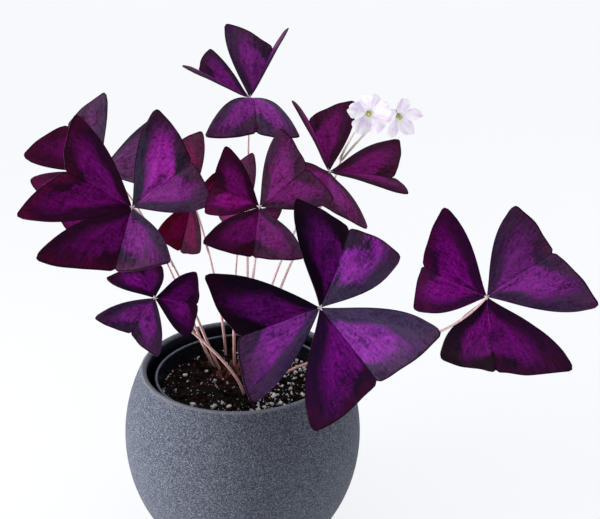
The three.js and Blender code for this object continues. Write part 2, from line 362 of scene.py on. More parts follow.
def mark(piece: Piece, name: str, value: float | np.ndarray) -> None:
    """Give every vertex of a piece a number for its material to read.

    Args:
        piece: The object to mark.
        name: The number's name.
        value: One number for all vertices, or one each.
    """
    attribute = piece.data.attributes.new(name, "FLOAT", "POINT")
    values = np.broadcast_to(np.asarray(value, np.float32), len(piece.data.vertices))
    attribute.data.foreach_set("value", values.copy())


def swell(places: np.ndarray, scale: float, seed: float) -> np.ndarray:
    """Return smooth noise from -1 to 1 at each place.

    Args:
        places: Points, one row each.
        scale: How many waves there are in a unit of length.
        seed: A shift that makes each piece its own.

    Returns:
        One number for each point.
    """
    shift = Vector((seed * 7.3, seed * 3.1, seed * 11.7))
    return np.array([noise.noise(Vector(p) * scale + shift) for p in places])


# ------------------------------------------------------------------ finishes


class Board:
    """A material's node tree, with short ways to add and join its nodes."""

    def __init__(self, name: str, sky: bool = False) -> None:
        """Start an empty material, or an empty world.

        Args:
            name: The material's or the world's name.
            sky: Whether to start a world.
        """
        self.owner = (bpy.data.worlds if sky else bpy.data.materials).new(name)
        self.owner.use_nodes = True
        self.tree = self.owner.node_tree
        self.tree.nodes.clear()

    def node(self, kind: str, inputs: dict | None = None, **settings: object) -> bpy.types.Node:
        """Add a node.

        Args:
            kind: The node's type without its "ShaderNode" start.
            inputs: Values or sockets for its inputs, by name or number.
            settings: The node's own settings.

        Returns:
            The new node.
        """
        made = self.tree.nodes.new("ShaderNode" + kind)
        for key, value in settings.items():
            setattr(made, key, value)
        for key, value in (inputs or {}).items():
            if isinstance(value, Socket):
                self.tree.links.new(value, made.inputs[key])
            else:
                made.inputs[key].default_value = value
        return made

    def maths(self, operation: str, first: object, second: object = 0.0) -> Socket:
        """Return the result of a Math node on two numbers or sockets."""
        return self.node("Math", {0: first, 1: second}, operation=operation).outputs[0]

    def add(self, *parts: object) -> Socket:
        """Return the sum of two or more numbers or sockets."""
        return reduce(partial(self.maths, "ADD"), parts)

    def times(self, *parts: object) -> Socket:
        """Return the product of two or more numbers or sockets."""
        return reduce(partial(self.maths, "MULTIPLY"), parts)

    def less(self, whole: object, part: object) -> Socket:
        """Return a number or socket less another."""
        return self.maths("SUBTRACT", whole, part)

    def size(self, value: Socket) -> Socket:
        """Return a number without its sign."""
        return self.maths("ABSOLUTE", value)

    def blend(self, *parts: tuple[Socket, float]) -> Socket:
        """Return the sum of sockets, each taken by its share."""
        return self.add(*(self.times(socket, share) for socket, share in parts))

    def between(
        self, value: object, low: float, high: float, start: float = 0.0, end: float = 1.0
    ) -> Socket:
        """Return a smooth step of a value.

        Args:
            value: The number or socket.
            low: Its value where the step starts.
            high: Its value where the step ends.
            start: The result at the start.
            end: The result at the end.

        Returns:
            The step's result.
        """
        ends = {"From Min": low, "From Max": high, "To Min": start, "To Max": end}
        step = self.node("MapRange", {"Value": value, **ends}, interpolation_type="SMOOTHSTEP")
        return step.outputs["Result"]

    def mix(self, share: object, first: object, second: object) -> Socket:
        """Return a mix of two colours by a share from 0 to 1."""
        return self.node("Mix", {0: share, 6: first, 7: second}, data_type="RGBA").outputs[2]

    def scaled(self, colour: Socket, share: object) -> Socket:
        """Return a colour made brighter or darker by a factor."""
        return self.node("VectorMath", {0: colour, "Scale": share}, operation="SCALE").outputs[0]

    def stretched(self, vector: Socket, scale: Point) -> Socket:
        """Return a vector scaled on each axis."""
        return self.node("Mapping", {"Vector": vector, "Scale": scale}).outputs[0]

    def grain(
        self, vector: Socket, scale: float, detail: float = 3.0, roughness: float = 0.55
    ) -> Socket:
        """Return the strength of a noise texture along a vector, from 0 to 1."""
        inputs = {"Vector": vector, "Scale": scale, "Detail": detail, "Roughness": roughness}
        return self.node("TexNoise", inputs).outputs["Fac"]

    def wave(self, vector: Socket, scale: float, detail: float, roughness: float) -> Socket:
        """Return the strength of a noise texture along a vector, from -0.5 to 0.5."""
        return self.less(self.grain(vector, scale, detail, roughness), 0.5)

    def object_place(self) -> Socket:
        """Return the Object coordinates, which are the frame's own metres."""
        return self.node("TexCoord").outputs["Object"]

    def height_above_base(self, place_: Socket) -> Socket:
        """Return how high a place is, in metres."""
        return self.node("SeparateXYZ", {0: place_}).outputs[2]

    def flat_place(self) -> tuple[Socket, Socket]:
        """Return the place on the piece's own map: across and along, from 0 to 1."""
        flat = self.node("SeparateXYZ", {0: self.node("UVMap", uv_map="UVMap").outputs[0]})
        return flat.outputs[0], flat.outputs[1]

    def seeded(self, across: Socket, along: Socket, seed: Socket) -> Socket:
        """Return the place on the map as a vector that is each piece's own."""
        return self.node("CombineXYZ", {0: across, 1: along, 2: seed}).outputs[0]

    def number(self, name: str) -> Socket:
        """Return a number that the mesh carries under a name."""
        return self.node("Attribute", attribute_name=name).outputs["Fac"]

    def bump(self, height: Socket, depth: float, strength: float = 1.0) -> Socket:
        """Return a normal that is raised by a height over a depth in millimetres."""
        inputs = {"Height": height, "Distance": depth * MM, "Strength": strength}
        return self.node("Bump", inputs).outputs["Normal"]

    def skin(self, colour: Socket, roughness: object, **others: object) -> Socket:
        """Return a solid surface.

        Args:
            colour: Its base colour.
            roughness: Its roughness.
            others: The shader's other inputs, with "_" for the spaces in their names.

        Returns:
            The surface's shader.
        """
        inputs = {key.replace("_", " "): value for key, value in others.items()}
        inputs |= {"Base Color": colour, "Roughness": roughness}
        return self.node("BsdfPrincipled", inputs).outputs[0]

    def lit_through(self, share: float, skin: Socket, colour: Socket, normal: Socket) -> Socket:
        """Return a surface that lets a share of the light through in a colour."""
        light = self.node("BsdfTranslucent", {"Color": colour, "Normal": normal}).outputs[0]
        return self.node("MixShader", {0: share, 1: skin, 2: light}).outputs[0]


class Finish(ABC):
    """A finish that one or more pieces wear."""

    name: str

    @abstractmethod
    def paint(self, board: Board) -> Socket:
        """Lay out the finish's nodes.

        Args:
            board: The material's board.

        Returns:
            The surface's shader.
        """

    def material(self) -> Material:
        """Build the finish's material.

        Returns:
            The material, under the finish's name.
        """
        board = Board(self.name)
        board.node("OutputMaterial", {"Surface": self.paint(board)})
        return board.owner


@dataclass(frozen=True)
class Stoneware(Finish):
    """Matt, finely speckled blue-grey stoneware with a painted highlight along the top of its lip.
    """

    name: str = "speckled_stoneware"
    ground: Colour = rgb(76, 80, 93)
    pale: Colour = rgb(136, 141, 154)
    deep: Colour = rgb(34, 37, 50)
    # painted highlight colour for the top of the lip
    painted_lip_highlight: Colour = rgb(150, 153, 160)
    speckle_scale: float = 2900.0
    cloud_scale: float = 26.0
    cloud_share: float = 0.22
    pale_share: float = 0.88
    deep_share: float = 0.85
    lip_highlight_share: float = 0.55
    lip_highlight_from: float = 0.1128
    lip_highlight_to: float = 0.1139
    tooth: float = 0.12

    def paint(self, board: Board) -> Socket:
        """Lay out the clay body with its pale and dark specks.

        Args:
            board: The material's board.

        Returns:
            The surface's shader.
        """
        place_ = board.object_place()
        cloud = board.grain(place_, self.cloud_scale, 4)
        speck = board.grain(place_, self.speckle_scale, 2, 0.7)
        grit = board.node("TexVoronoi", {"Vector": place_, "Scale": self.speckle_scale}).outputs
        cell = board.node("SeparateColor", {0: grit["Color"]}).outputs[0]
        cloudy = board.between(cloud, 0.3, 0.7, 0.0, self.cloud_share)
        colour = board.mix(cloudy, self.ground, self.deep)
        colour = board.mix(board.between(cell, 0.52, 1.0, 0.0, self.pale_share), colour, self.pale)
        colour = board.mix(board.between(cell, 0.48, 0.0, 0.0, self.deep_share), colour, self.deep)
        top = board.height_above_base(place_)
        # painted highlight: a lighter band along the top of the lip
        lip = board.between(top, self.lip_highlight_from, self.lip_highlight_to, 0.0, self.lip_highlight_share)
        return board.skin(
            board.mix(lip, colour, self.painted_lip_highlight),
            board.between(speck, 0.3, 0.7, 0.78, 0.92),
            Specular_IOR_Level=0.35,
            Normal=board.bump(board.add(speck, grit["Distance"]), self.tooth, 0.8),
        )


@dataclass(frozen=True)
class InsideShade(Finish):
    """Painted shade for the inside of the stoneware: dark blue-grey with a few pale flecks of clay.
    """

    name: str = "painted_inside_shade"
    ground: Colour = rgb(30, 33, 46)
    fleck: Colour = rgb(58, 62, 78)
    fleck_scale: float = 1300.0
    fleck_share: float = 0.6
    cloud_scale: float = 60.0
    tooth: float = 0.06

    def paint(self, board: Board) -> Socket:
        """Lay out the painted shade.

        Args:
            board: The material's board.

        Returns:
            The surface's shader.
        """
        place_ = board.object_place()
        fleck = board.grain(place_, self.fleck_scale, 3, 0.65)
        cloud = board.grain(place_, self.cloud_scale, 3)
        flecked = board.between(fleck, 0.56, 0.72, 0.0, self.fleck_share)
        return board.skin(
            board.mix(flecked, self.ground, self.fleck),
            board.between(cloud, 0.3, 0.7, 0.42, 0.6),
            Specular_IOR_Level=0.4,
            Normal=board.bump(fleck, self.tooth, 0.6),
        )


@dataclass(frozen=True)
class BlackPlastic(Finish):
    """Glossy black moulded plastic with faint turning lines, dust and a painted highlight along the
    top of its rim.
    """

    name: str = "nursery_plastic"
    ground: Colour = rgb(12, 15, 24)
    dust: Colour = rgb(46, 52, 68)
    # painted highlight colour for the top of the rim
    painted_rim_highlight: Colour = rgb(112, 118, 136)
    dust_scale: float = 420.0
    dust_share: float = 0.35
    ring_scale: float = 900.0
    ring_depth: float = 0.05
    rim_highlight_from: float = 0.1068
    rim_highlight_to: float = 0.1079

    def paint(self, board: Board) -> Socket:
        """Lay out the plastic.

        Args:
            board: The material's board.

        Returns:
            The surface's shader.
        """
        place_ = board.object_place()
        dust = board.grain(place_, self.dust_scale, 5, 0.7)
        height = board.height_above_base(place_)
        ring = board.node("CombineXYZ", {2: height}).outputs[0]
        lines = board.grain(ring, self.ring_scale, 2)
        dusty = board.between(dust, 0.55, 0.85, 0.0, self.dust_share)
        colour = board.mix(dusty, self.ground, self.dust)
        # painted highlight along the top of the rolled rim, broken up by the dust noise
        rim = board.between(height, self.rim_highlight_from, self.rim_highlight_to)
        rim = board.times(rim, board.between(dust, 0.2, 0.6, 0.45, 0.95))
        return board.skin(
            board.mix(rim, colour, self.painted_rim_highlight),
            board.between(dust, 0.3, 0.75, 0.22, 0.42),
            Specular_IOR_Level=0.38,
            Normal=board.bump(board.times(lines, 0.6), self.ring_depth, 0.5),
        )


@dataclass(frozen=True)
class Peat(Finish):
    """Moist dark peat with redder fibres, and redder where the stems spring from it."""

    name: str = "peat"
    dark: Colour = rgb(5, 4, 4)
    brown: Colour = rgb(22, 14, 12)
    red: Colour = rgb(60, 25, 20)
    lump_scale: float = 260.0
    lump_depth: float = 0.5
    fibre_scale: float = 900.0
    fibre_stretch: Point = (1.0, 0.25, 0.5)
    fibre_share: float = 0.7
    root_place: Point = (-0.009, 0.012, 0.1)
    root_width: float = 0.026
    root_core: float = 0.006
    root_share: float = 0.85

    def paint(self, board: Board) -> Socket:
        """Lay out the peat.

        Args:
            board: The material's board.

        Returns:
            The surface's shader.
        """
        place_ = board.object_place()
        lump = board.grain(place_, self.lump_scale, 6, 0.65)
        fibre = board.grain(board.stretched(place_, self.fibre_stretch), self.fibre_scale, 3)
        colour = board.mix(board.between(lump, 0.35, 0.68), self.dark, self.brown)
        away = board.node("VectorMath", {0: place_, 1: self.root_place}, operation="DISTANCE")
        near = board.between(away.outputs["Value"], self.root_width, self.root_core)
        rooty = board.times(near, board.between(lump, 0.4, 0.6), self.root_share)
        colour = board.mix(rooty, colour, self.red)
        fibrous = board.between(fibre, 0.56, 0.72, 0.0, self.fibre_share)
        return board.skin(
            board.mix(fibrous, colour, self.red),
            board.between(lump, 0.3, 0.7, 0.7, 0.95),
            Specular_IOR_Level=0.12,
            Normal=board.bump(board.add(lump, fibre), self.lump_depth, 0.9),
        )


@dataclass(frozen=True)
class Perlite(Finish):
    """Crushed white perlite, a little stained by the peat."""

    name: str = "perlite"
    white: Colour = rgb(255, 254, 252)
    stain: Colour = rgb(206, 194, 182)
    stain_share: float = 0.8
    pore_scale: float = 700.0
    pore_depth: float = 0.3

    def paint(self, board: Board) -> Socket:
        """Lay out the porous white grain.

        Args:
            board: The material's board.

        Returns:
            The surface's shader.
        """
        pores = board.grain(board.object_place(), self.pore_scale, 4, 0.6)
        stained = board.between(pores, 0.45, 0.7, 0.0, self.stain_share)
        return board.skin(
            board.mix(stained, self.white, self.stain),
            board.between(pores, 0.3, 0.7, 0.8, 0.95),
            Normal=board.bump(pores, self.pore_depth, 0.7),
        )


@dataclass(frozen=True)
class BladeGrain:
    """The places on a blade and the noises that its pattern is drawn from."""

    across: Socket
    along: Socket
    pushed: Socket
    place_: Socket
    blotch: Socket
    streak: Socket
    fine: Socket
    mottle: Socket


@dataclass(frozen=True)
class BladeSkin(Finish):
    """A blade's upper skin: near-black purple with a feathered magenta patch on each half, and
    painted light, shade and sheen.

    The UV map runs from the left edge to the right edge, and from the hub to the outer edge.
    """

    name: str = "blade_upper"
    dark: Colour = rgb(30, 8, 48)
    wine: Colour = rgb(56, 10, 62)
    patch: Colour = rgb(110, 2, 124)
    bright: Colour = rgb(158, 18, 168)
    warm_ground: Colour = rgb(78, 3, 26)
    warm_patch: Colour = rgb(140, 6, 84)
    red: Colour = rgb(100, 10, 58)
    rim: Colour = rgb(20, 4, 18)
    vein: Colour = rgb(170, 92, 140)
    # painted sheen: the colour of the silvery painted reflection
    silver: Colour = rgb(122, 114, 152)
    glow_through: Colour = rgb(180, 12, 110)
    ground_through: Colour = rgb(120, 6, 46)
    sheen: Colour = rgb(176, 160, 220)
    through: float = 0.10
    # how strong the painted sheen is
    painted_sheen_share: float = 1.0
    shine: float = 0.035
    patch_start: float = 0.15
    patch_end: float = 0.95
    near_width: float = 0.34
    full_width: float = 0.76
    fork_start: float = 0.56
    fork_end: float = 0.90
    fork_width: float = 0.46
    streaks: float = 7.0
    relief: float = 0.35
    blotch_scale: float = 3.4
    mottle_scale: float = 620.0
    hair_stretch: Point = (11.0, 1.1, 1.0)
    cell_scale: float = 2600.0
    ripple_scale: float = 210.0
    warm_matt: float = 0.45

    def grains(self, board: Board) -> BladeGrain:
        """Read the blade's map and lay out its noises.

        Args:
            board: The material's board.

        Returns:
            The places and the noises.
        """
        across, along = board.flat_place()
        side = board.less(board.times(across, 2.0), 1.0)
        place_ = board.seeded(side, along, board.times(board.number("seed"), 9.0))
        rays = board.stretched(place_, (self.streaks, 1.8, 1.0))
        fine_rays = board.stretched(place_, (self.streaks * 4, 7.0, 1.0))
        return BladeGrain(
            across=board.size(side),
            along=along,
            pushed=board.less(along, board.number("shift")),
            place_=place_,
            blotch=board.wave(place_, self.blotch_scale, 5, 0.62),
            streak=board.wave(rays, 1.0, 6, 0.68),
            fine=board.wave(fine_rays, 1.0, 4, 0.6),
            mottle=board.wave(board.object_place(), self.mottle_scale, 3, 0.6),
        )

    def patch_share(self, board: Board, grain: BladeGrain) -> Socket:
        """Draw the patch: a ragged wedge on each half that forks at the outer edge.

        Args:
            board: The material's board.
            grain: The blade's places and noises.

        Returns:
            The patch's share, from 0 to 1.
        """
        ragged = board.blend((grain.blotch, 0.62), (grain.streak, 0.34), (grain.mottle, 0.22))
        spread = board.add(grain.across, ragged)
        width = board.between(grain.along, 0.0, 0.5, self.near_width, self.full_width)
        outer = board.between(board.less(width, spread), -0.10, 0.12)
        fork = board.between(grain.along, self.fork_start, self.fork_end, -0.12, self.fork_width)
        inner = board.between(board.less(spread, fork), -0.12, 0.12)
        start = board.add(grain.pushed, board.times(ragged, 0.5))
        start = board.between(start, self.patch_start - 0.10, self.patch_start + 0.10)
        flame = board.blend((grain.streak, 0.5), (grain.blotch, 0.45))
        end = board.add(grain.pushed, flame)
        end = board.between(end, self.patch_end + 0.08, self.patch_end - 0.26)
        torn = board.add(grain.blotch, grain.streak, grain.mottle)
        return board.times(outer, inner, start, end, board.between(torn, -0.34, -0.02, 0.30, 1.0))

    def colours(self, board: Board, grain: BladeGrain, share: Socket) -> Socket:
        """Mix the ground's and the patch's colours.

        Args:
            board: The material's board.
            grain: The blade's places and noises.
            share: The patch's share.

        Returns:
            The colour.
        """
        warm = board.number("warm")
        deep = board.between(board.add(grain.blotch, grain.streak), -0.25, 0.3)
        ground = board.mix(warm, board.mix(deep, self.dark, self.wine), self.warm_ground)
        tip = board.between(board.add(grain.along, grain.blotch), 0.72, 1.05)
        ground = board.mix(board.times(tip, board.number("blush")), ground, self.red)
        ripe = board.blend((grain.streak, 0.5), (grain.fine, 0.5), (grain.mottle, 0.5))
        ripe = board.between(board.add(grain.blotch, ripe), -0.16, 0.26)
        lit = board.mix(warm, board.mix(ripe, self.patch, self.bright), self.warm_patch)
        # painted light and shade: each half's ground and patch are made lighter or darker by how
        # the half faces the light
        ground = board.scaled(ground, board.number("ground"))
        lit = board.scaled(lit, board.number("patch"))
        grainy = board.add(board.times(grain.mottle, 1.3), grain.fine, 1.0)
        return board.scaled(board.mix(share, ground, lit), grainy)

    def drawn_over(self, board: Board, grain: BladeGrain, colour: Socket) -> Socket:
        """Draw the hair veins, the painted silvery sheen, the crease vein, the painted shade along
        the crease and the margin over a colour.

        Args:
            board: The material's board.
            grain: The blade's places and noises.
            colour: The colour under them.

        Returns:
            The finished colour.
        """
        hair = board.wave(board.stretched(grain.place_, self.hair_stretch), 1.0, 2, 0.4)
        hair = board.between(board.size(hair), 0.024, 0.0, 0.0, 0.4)
        colour = board.mix(hair, colour, self.rim)
        # painted sheen: a silvery painted reflection, strongest near the hub on the halves marked
        # for it
        bloom = board.add(grain.streak, grain.blotch, grain.mottle, grain.fine)
        bloom = board.between(bloom, -0.45, 0.35, 0.35, 1.6)
        bloom = board.times(bloom, board.number("bloom"), self.painted_sheen_share)
        colour = board.mix(bloom, colour, self.silver)
        crease = board.between(grain.across, 0.024, 0.006, 0.0, 0.5)
        crease = board.times(crease, board.between(grain.along, 0.5, 0.03))
        colour = board.mix(crease, colour, self.vein)
        # painted shade: a dark line along the midrib crease, from a quarter of the blade outwards
        shade = board.between(grain.across, 0.035, 0.0, 0.0, 0.6)
        shade = board.times(shade, board.between(grain.along, 0.25, 0.5))
        colour = board.mix(shade, colour, self.rim)
        side = board.between(grain.across, 0.965, 0.995)
        margin = board.maths("MAXIMUM", side, board.between(grain.along, 0.970, 0.995))
        return board.mix(board.times(margin, 0.8), colour, self.rim)

    def paint(self, board: Board) -> Socket:
        """Lay out the satin skin with a little light coming through it.

        Args:
            board: The material's board.

        Returns:
            The surface's shader.
        """
        grain = self.grains(board)
        share = self.patch_share(board, grain)
        colour = self.drawn_over(board, grain, self.colours(board, grain, share))
        place_ = board.object_place()
        cells = board.grain(place_, self.cell_scale, 2)
        ripple = board.grain(place_, self.ripple_scale, 3)
        height = board.add(board.blend((grain.fine, 0.5), (cells, 0.25)), ripple)
        normal = board.bump(height, self.relief, 0.55)
        matt = board.times(board.number("warm"), self.warm_matt)
        skin = board.skin(
            colour,
            board.add(board.between(ripple, 0.3, 0.7, 0.32, 0.48), matt),
            Specular_IOR_Level=self.shine,
            Sheen_Weight=0.012,
            Sheen_Roughness=0.35,
            Sheen_Tint=self.sheen,
            Normal=normal,
        )
        leak = board.mix(share, self.ground_through, self.glow_through)
        return board.lit_through(self.through, skin, leak, normal)


def under_skin() -> BladeSkin:
    """Mix the blade's underside: dark wine red and softer than the upper skin.

    Returns:
        The finish.
    """
    return BladeSkin(
        name="blade_under",
        dark=rgb(48, 6, 36),
        wine=rgb(72, 8, 42),
        patch=rgb(100, 6, 72),
        bright=rgb(124, 16, 92),
        warm_ground=rgb(80, 3, 30),
        warm_patch=rgb(104, 4, 48),
        red=rgb(92, 10, 42),
        rim=rgb(36, 6, 22),
        vein=rgb(150, 80, 104),
        through=0.14,
        # a weaker painted sheen on the underside
        painted_sheen_share=0.3,
        shine=0.02,
    )


@dataclass(frozen=True)
class BladeRim(Finish):
    """The thin cut edge of a blade, almost black."""

    name: str = "blade_rim"
    ground: Colour = rgb(22, 5, 20)
    worn: Colour = rgb(64, 14, 44)
    mottle_scale: float = 320.0

    def paint(self, board: Board) -> Socket:
        """Lay out the rim.

        Args:
            board: The material's board.

        Returns:
            The surface's shader.
        """
        mottle = board.grain(board.object_place(), self.mottle_scale, 3)
        colour = board.mix(board.between(mottle, 0.4, 0.7), self.ground, self.worn)
        return board.skin(colour, board.between(mottle, 0.3, 0.7, 0.45, 0.65))


@dataclass(frozen=True)
class StemSkin(Finish):
    """A watery stem skin that shades from one colour at the soil to another at its top."""

    name: str = "leaf_stem"
    foot: Colour = rgb(200, 148, 144)
    top: Colour = rgb(230, 204, 206)
    streak: Colour = rgb(244, 228, 224)
    foot_height: float = 0.100
    top_height: float = 0.190
    streak_scale: float = 1440.0
    streak_stretch: Point = (1.0, 1.0, 0.12)
    streak_share: float = 0.6
    streak_depth: float = 0.05
    depth_of_light: Point = (0.9 * MM, 0.4 * MM, 0.4 * MM)

    def paint(self, board: Board) -> Socket:
        """Lay out the stem's skin.

        Args:
            board: The material's board.

        Returns:
            The surface's shader.
        """
        place_ = board.object_place()
        height = board.height_above_base(place_)
        rise = board.between(height, self.foot_height, self.top_height)
        streaks = board.grain(board.stretched(place_, self.streak_stretch), self.streak_scale, 3)
        streaky = board.between(streaks, 0.45, 0.75, 0.0, self.streak_share)
        return board.skin(
            board.mix(streaky, board.mix(rise, self.foot, self.top), self.streak),
            board.between(streaks, 0.3, 0.7, 0.32, 0.5),
            Subsurface_Weight=0.25,
            Subsurface_Radius=self.depth_of_light,
            Subsurface_Scale=1.0,
            Normal=board.bump(streaks, self.streak_depth, 0.6),
        )


@dataclass(frozen=True)
class PetalSkin(Finish):
    """A thin pale lilac petal with fine veins and a yellow-green foot."""

    name: str = "petal_skin"
    pale: Colour = rgb(255, 254, 255)
    lilac: Colour = rgb(240, 226, 250)
    foot: Colour = rgb(206, 222, 140)
    vein: Colour = rgb(206, 176, 226)
    through: float = 0.50
    # painted glow: how much light the petal gives off in its own colour
    painted_glow: float = 0.18
    lilac_share: float = 0.8
    vein_stretch: Point = (26.0, 1.2, 1.0)
    vein_share: float = 0.5
    vein_depth: float = 0.10
    cloud_scale: float = 2.6

    def paint(self, board: Board) -> Socket:
        """Lay out the petal.

        Args:
            board: The material's board.

        Returns:
            The surface's shader.
        """
        across, along = board.flat_place()
        place_ = board.seeded(across, along, board.number("seed"))
        veins = board.grain(board.stretched(place_, self.vein_stretch), 1.0, 3)
        cloud = board.grain(place_, self.cloud_scale, 3)
        cloudy = board.between(cloud, 0.42, 0.68, 0.0, self.lilac_share)
        line = board.between(veins, 0.56, 0.66, 0.0, self.vein_share)
        line = board.times(line, board.between(along, 1.0, 0.3))
        colour = board.mix(line, board.mix(cloudy, self.pale, self.lilac), self.vein)
        colour = board.mix(board.between(along, 0.20, 0.03), colour, self.foot)
        normal = board.bump(veins, self.vein_depth, 0.5)
        skin = board.skin(
            colour,
            board.between(cloud, 0.3, 0.7, 0.45, 0.62),
            Specular_IOR_Level=0.3,
            # painted glow: the petal shines a little light of its own colour
            Emission_Color=colour,
            Emission_Strength=self.painted_glow,
            Normal=normal,
        )
        return board.lit_through(self.through, skin, colour, normal)


@dataclass(frozen=True)
class FloorPaint(Finish):
    """Plain pale floor."""

    name: str = "pale_floor"
    white: Colour = rgb(120, 120, 122)
    shade: Colour = rgb(117, 118, 120)
    glow: Colour = rgb(252, 253, 255)
    lit: float = 0.83
    cloud_scale: float = 1.5

    def paint(self, board: Board) -> Socket:
        """Lay out the floor's even white.

        Args:
            board: The material's board.

        Returns:
            The surface's shader.
        """
        cloud = board.grain(board.object_place(), self.cloud_scale, 2)
        return board.skin(
            board.mix(cloud, self.white, self.shade),
            0.9,
            Specular_IOR_Level=0.1,
            Emission_Color=self.glow,
            Emission_Strength=self.lit,
        )


# ------------------------------------------------------------------ pots and soil


@dataclass
class CoverPot:
    """The round stoneware pot that the nursery pot stands in."""

    belly_radius: float = 70.0
    belly_height: float = 68.0
    belly_rise: float = 82.0
    height: float = 114.0
    wall: float = 5.0
    floor: float = 6.0
    floor_round: float = 3.0
    foot_round: float = 1.5
    lip_width: float = 4.0
    lip_rise: float = 2.0
    lip_depth: float = 12.0
    steps: int = 128

    def radius(self, height: float, inset: float = 0.0) -> float:
        """Return the body's radius at a height, set in by a wall's thickness."""
        share = (height - self.belly_height) / (self.belly_rise - inset)
        return (self.belly_radius - inset) * math.sqrt(1 - share * share)

    def profile(self) -> list[Spot]:
        """Draw the wall from the middle of its base, over the lip, to the middle of its floor.

        Returns:
            The profile's points.
        """
        foot = self.foot_round
        outer = [(0.0, 0.0), (self.radius(foot) - foot, 0.0)]
        outer += [(self.radius(foot) - foot * 0.3, foot * 0.3)]
        lip_foot = self.height - self.lip_rise
        outer += [(self.radius(h), h) for h in np.linspace(foot, lip_foot, 40)]
        rim = self.radius(lip_foot)
        half = self.lip_width / 2
        lip = [
            (rim - half + half * math.cos(turn), lip_foot + self.lip_rise * math.sin(turn))
            for turn in np.linspace(0, math.pi, 13)[1:]
        ]
        top, bottom = self.height - self.lip_depth, self.floor + self.floor_round
        inner = [(self.radius(h, self.wall), h) for h in np.linspace(top, bottom, 26)]
        edge = self.radius(self.floor, self.wall) - self.floor_round
        return outer + lip + inner + [(edge, self.floor), (0.0, self.floor)]

    def build(self) -> Piece:
        """Turn the pot and dress it.

        Returns:
            The finished pot.
        """
        pot = spun(self.profile(), self.steps)
        smooth(pot, 60)
        finishes = [Stoneware().material(), InsideShade().material()]
        settle(pot, "stoneware_cover_pot", finishes, ("cover_pot",))
        # the inward faces below the lip and the raised floor wear the painted inside shade
        inside_shade_top = (self.height - self.lip_rise) * MM
        for face in pot.data.polygons:
            inwards = face.normal.x * face.center.x + face.normal.y * face.center.y < 0
            raised_floor = face.normal.z > 0.5 and face.center.z < self.belly_height * MM
            if (inwards and face.center.z < inside_shade_top) or raised_floor:
                face.material_index = PotFace.INSIDE.value
        return pot


@dataclass
class NurseryPot:
    """The glossy black plastic pot with its rolled rim."""

    rim_radius: float = 50.8
    rim_height: float = 108.0
    rim_depth: float = 9.0
    neck_radius: float = 49.2
    base_radius: float = 35.0
    base_round: float = 0.6
    wall: float = 1.2
    floor: float = 1.6
    foot: float = 6.3
    drain_radius: float = 5.0
    roll: float = 0.85
    edge: float = 0.25
    steps: int = 128

    def profile(self) -> list[Spot]:
        """Draw the tapered wall, the folded band and the rolled rim, round to the start.

        Returns:
            The profile's points.
        """
        neck = self.rim_height - self.rim_depth
        middle, roll = self.rim_radius - self.roll, self.roll
        rolled = [
            (middle + roll * math.cos(turn), self.rim_height - roll + roll * math.sin(turn))
            for turn in np.linspace(0, math.pi, 9)
        ]
        inner_neck = self.neck_radius - self.wall
        return [
            (self.drain_radius, self.foot),
            (self.base_radius - self.base_round, self.foot),
            (self.base_radius, self.foot + self.base_round),
            (self.neck_radius, neck),
            (self.rim_radius - 0.5, neck + 0.1),
            (self.rim_radius, neck + 0.6),
            *rolled,
            (middle - roll - 0.1, neck + 2.2),
            (inner_neck, neck - 0.4),
            (inner_neck - 0.8, neck - 6.0),
            (self.base_radius - self.wall, self.foot + self.floor),
            (self.drain_radius, self.foot + self.floor),
            (self.drain_radius, self.foot),
        ]

    def build(self) -> Piece:
        """Turn the plastic pot and dress it.

        Returns:
            The finished pot.
        """
        pot = spun(self.profile(), self.steps)
        sharp = {"limit_method": "ANGLE", "angle_limit": math.radians(35)}
        modify(pot, "BEVEL", width=self.edge * MM, segments=2, **sharp)
        smooth(pot, 45)
        finishes = [BlackPlastic().material()]
        return settle(pot, "black_nursery_pot", finishes, ("nursery_pot",))


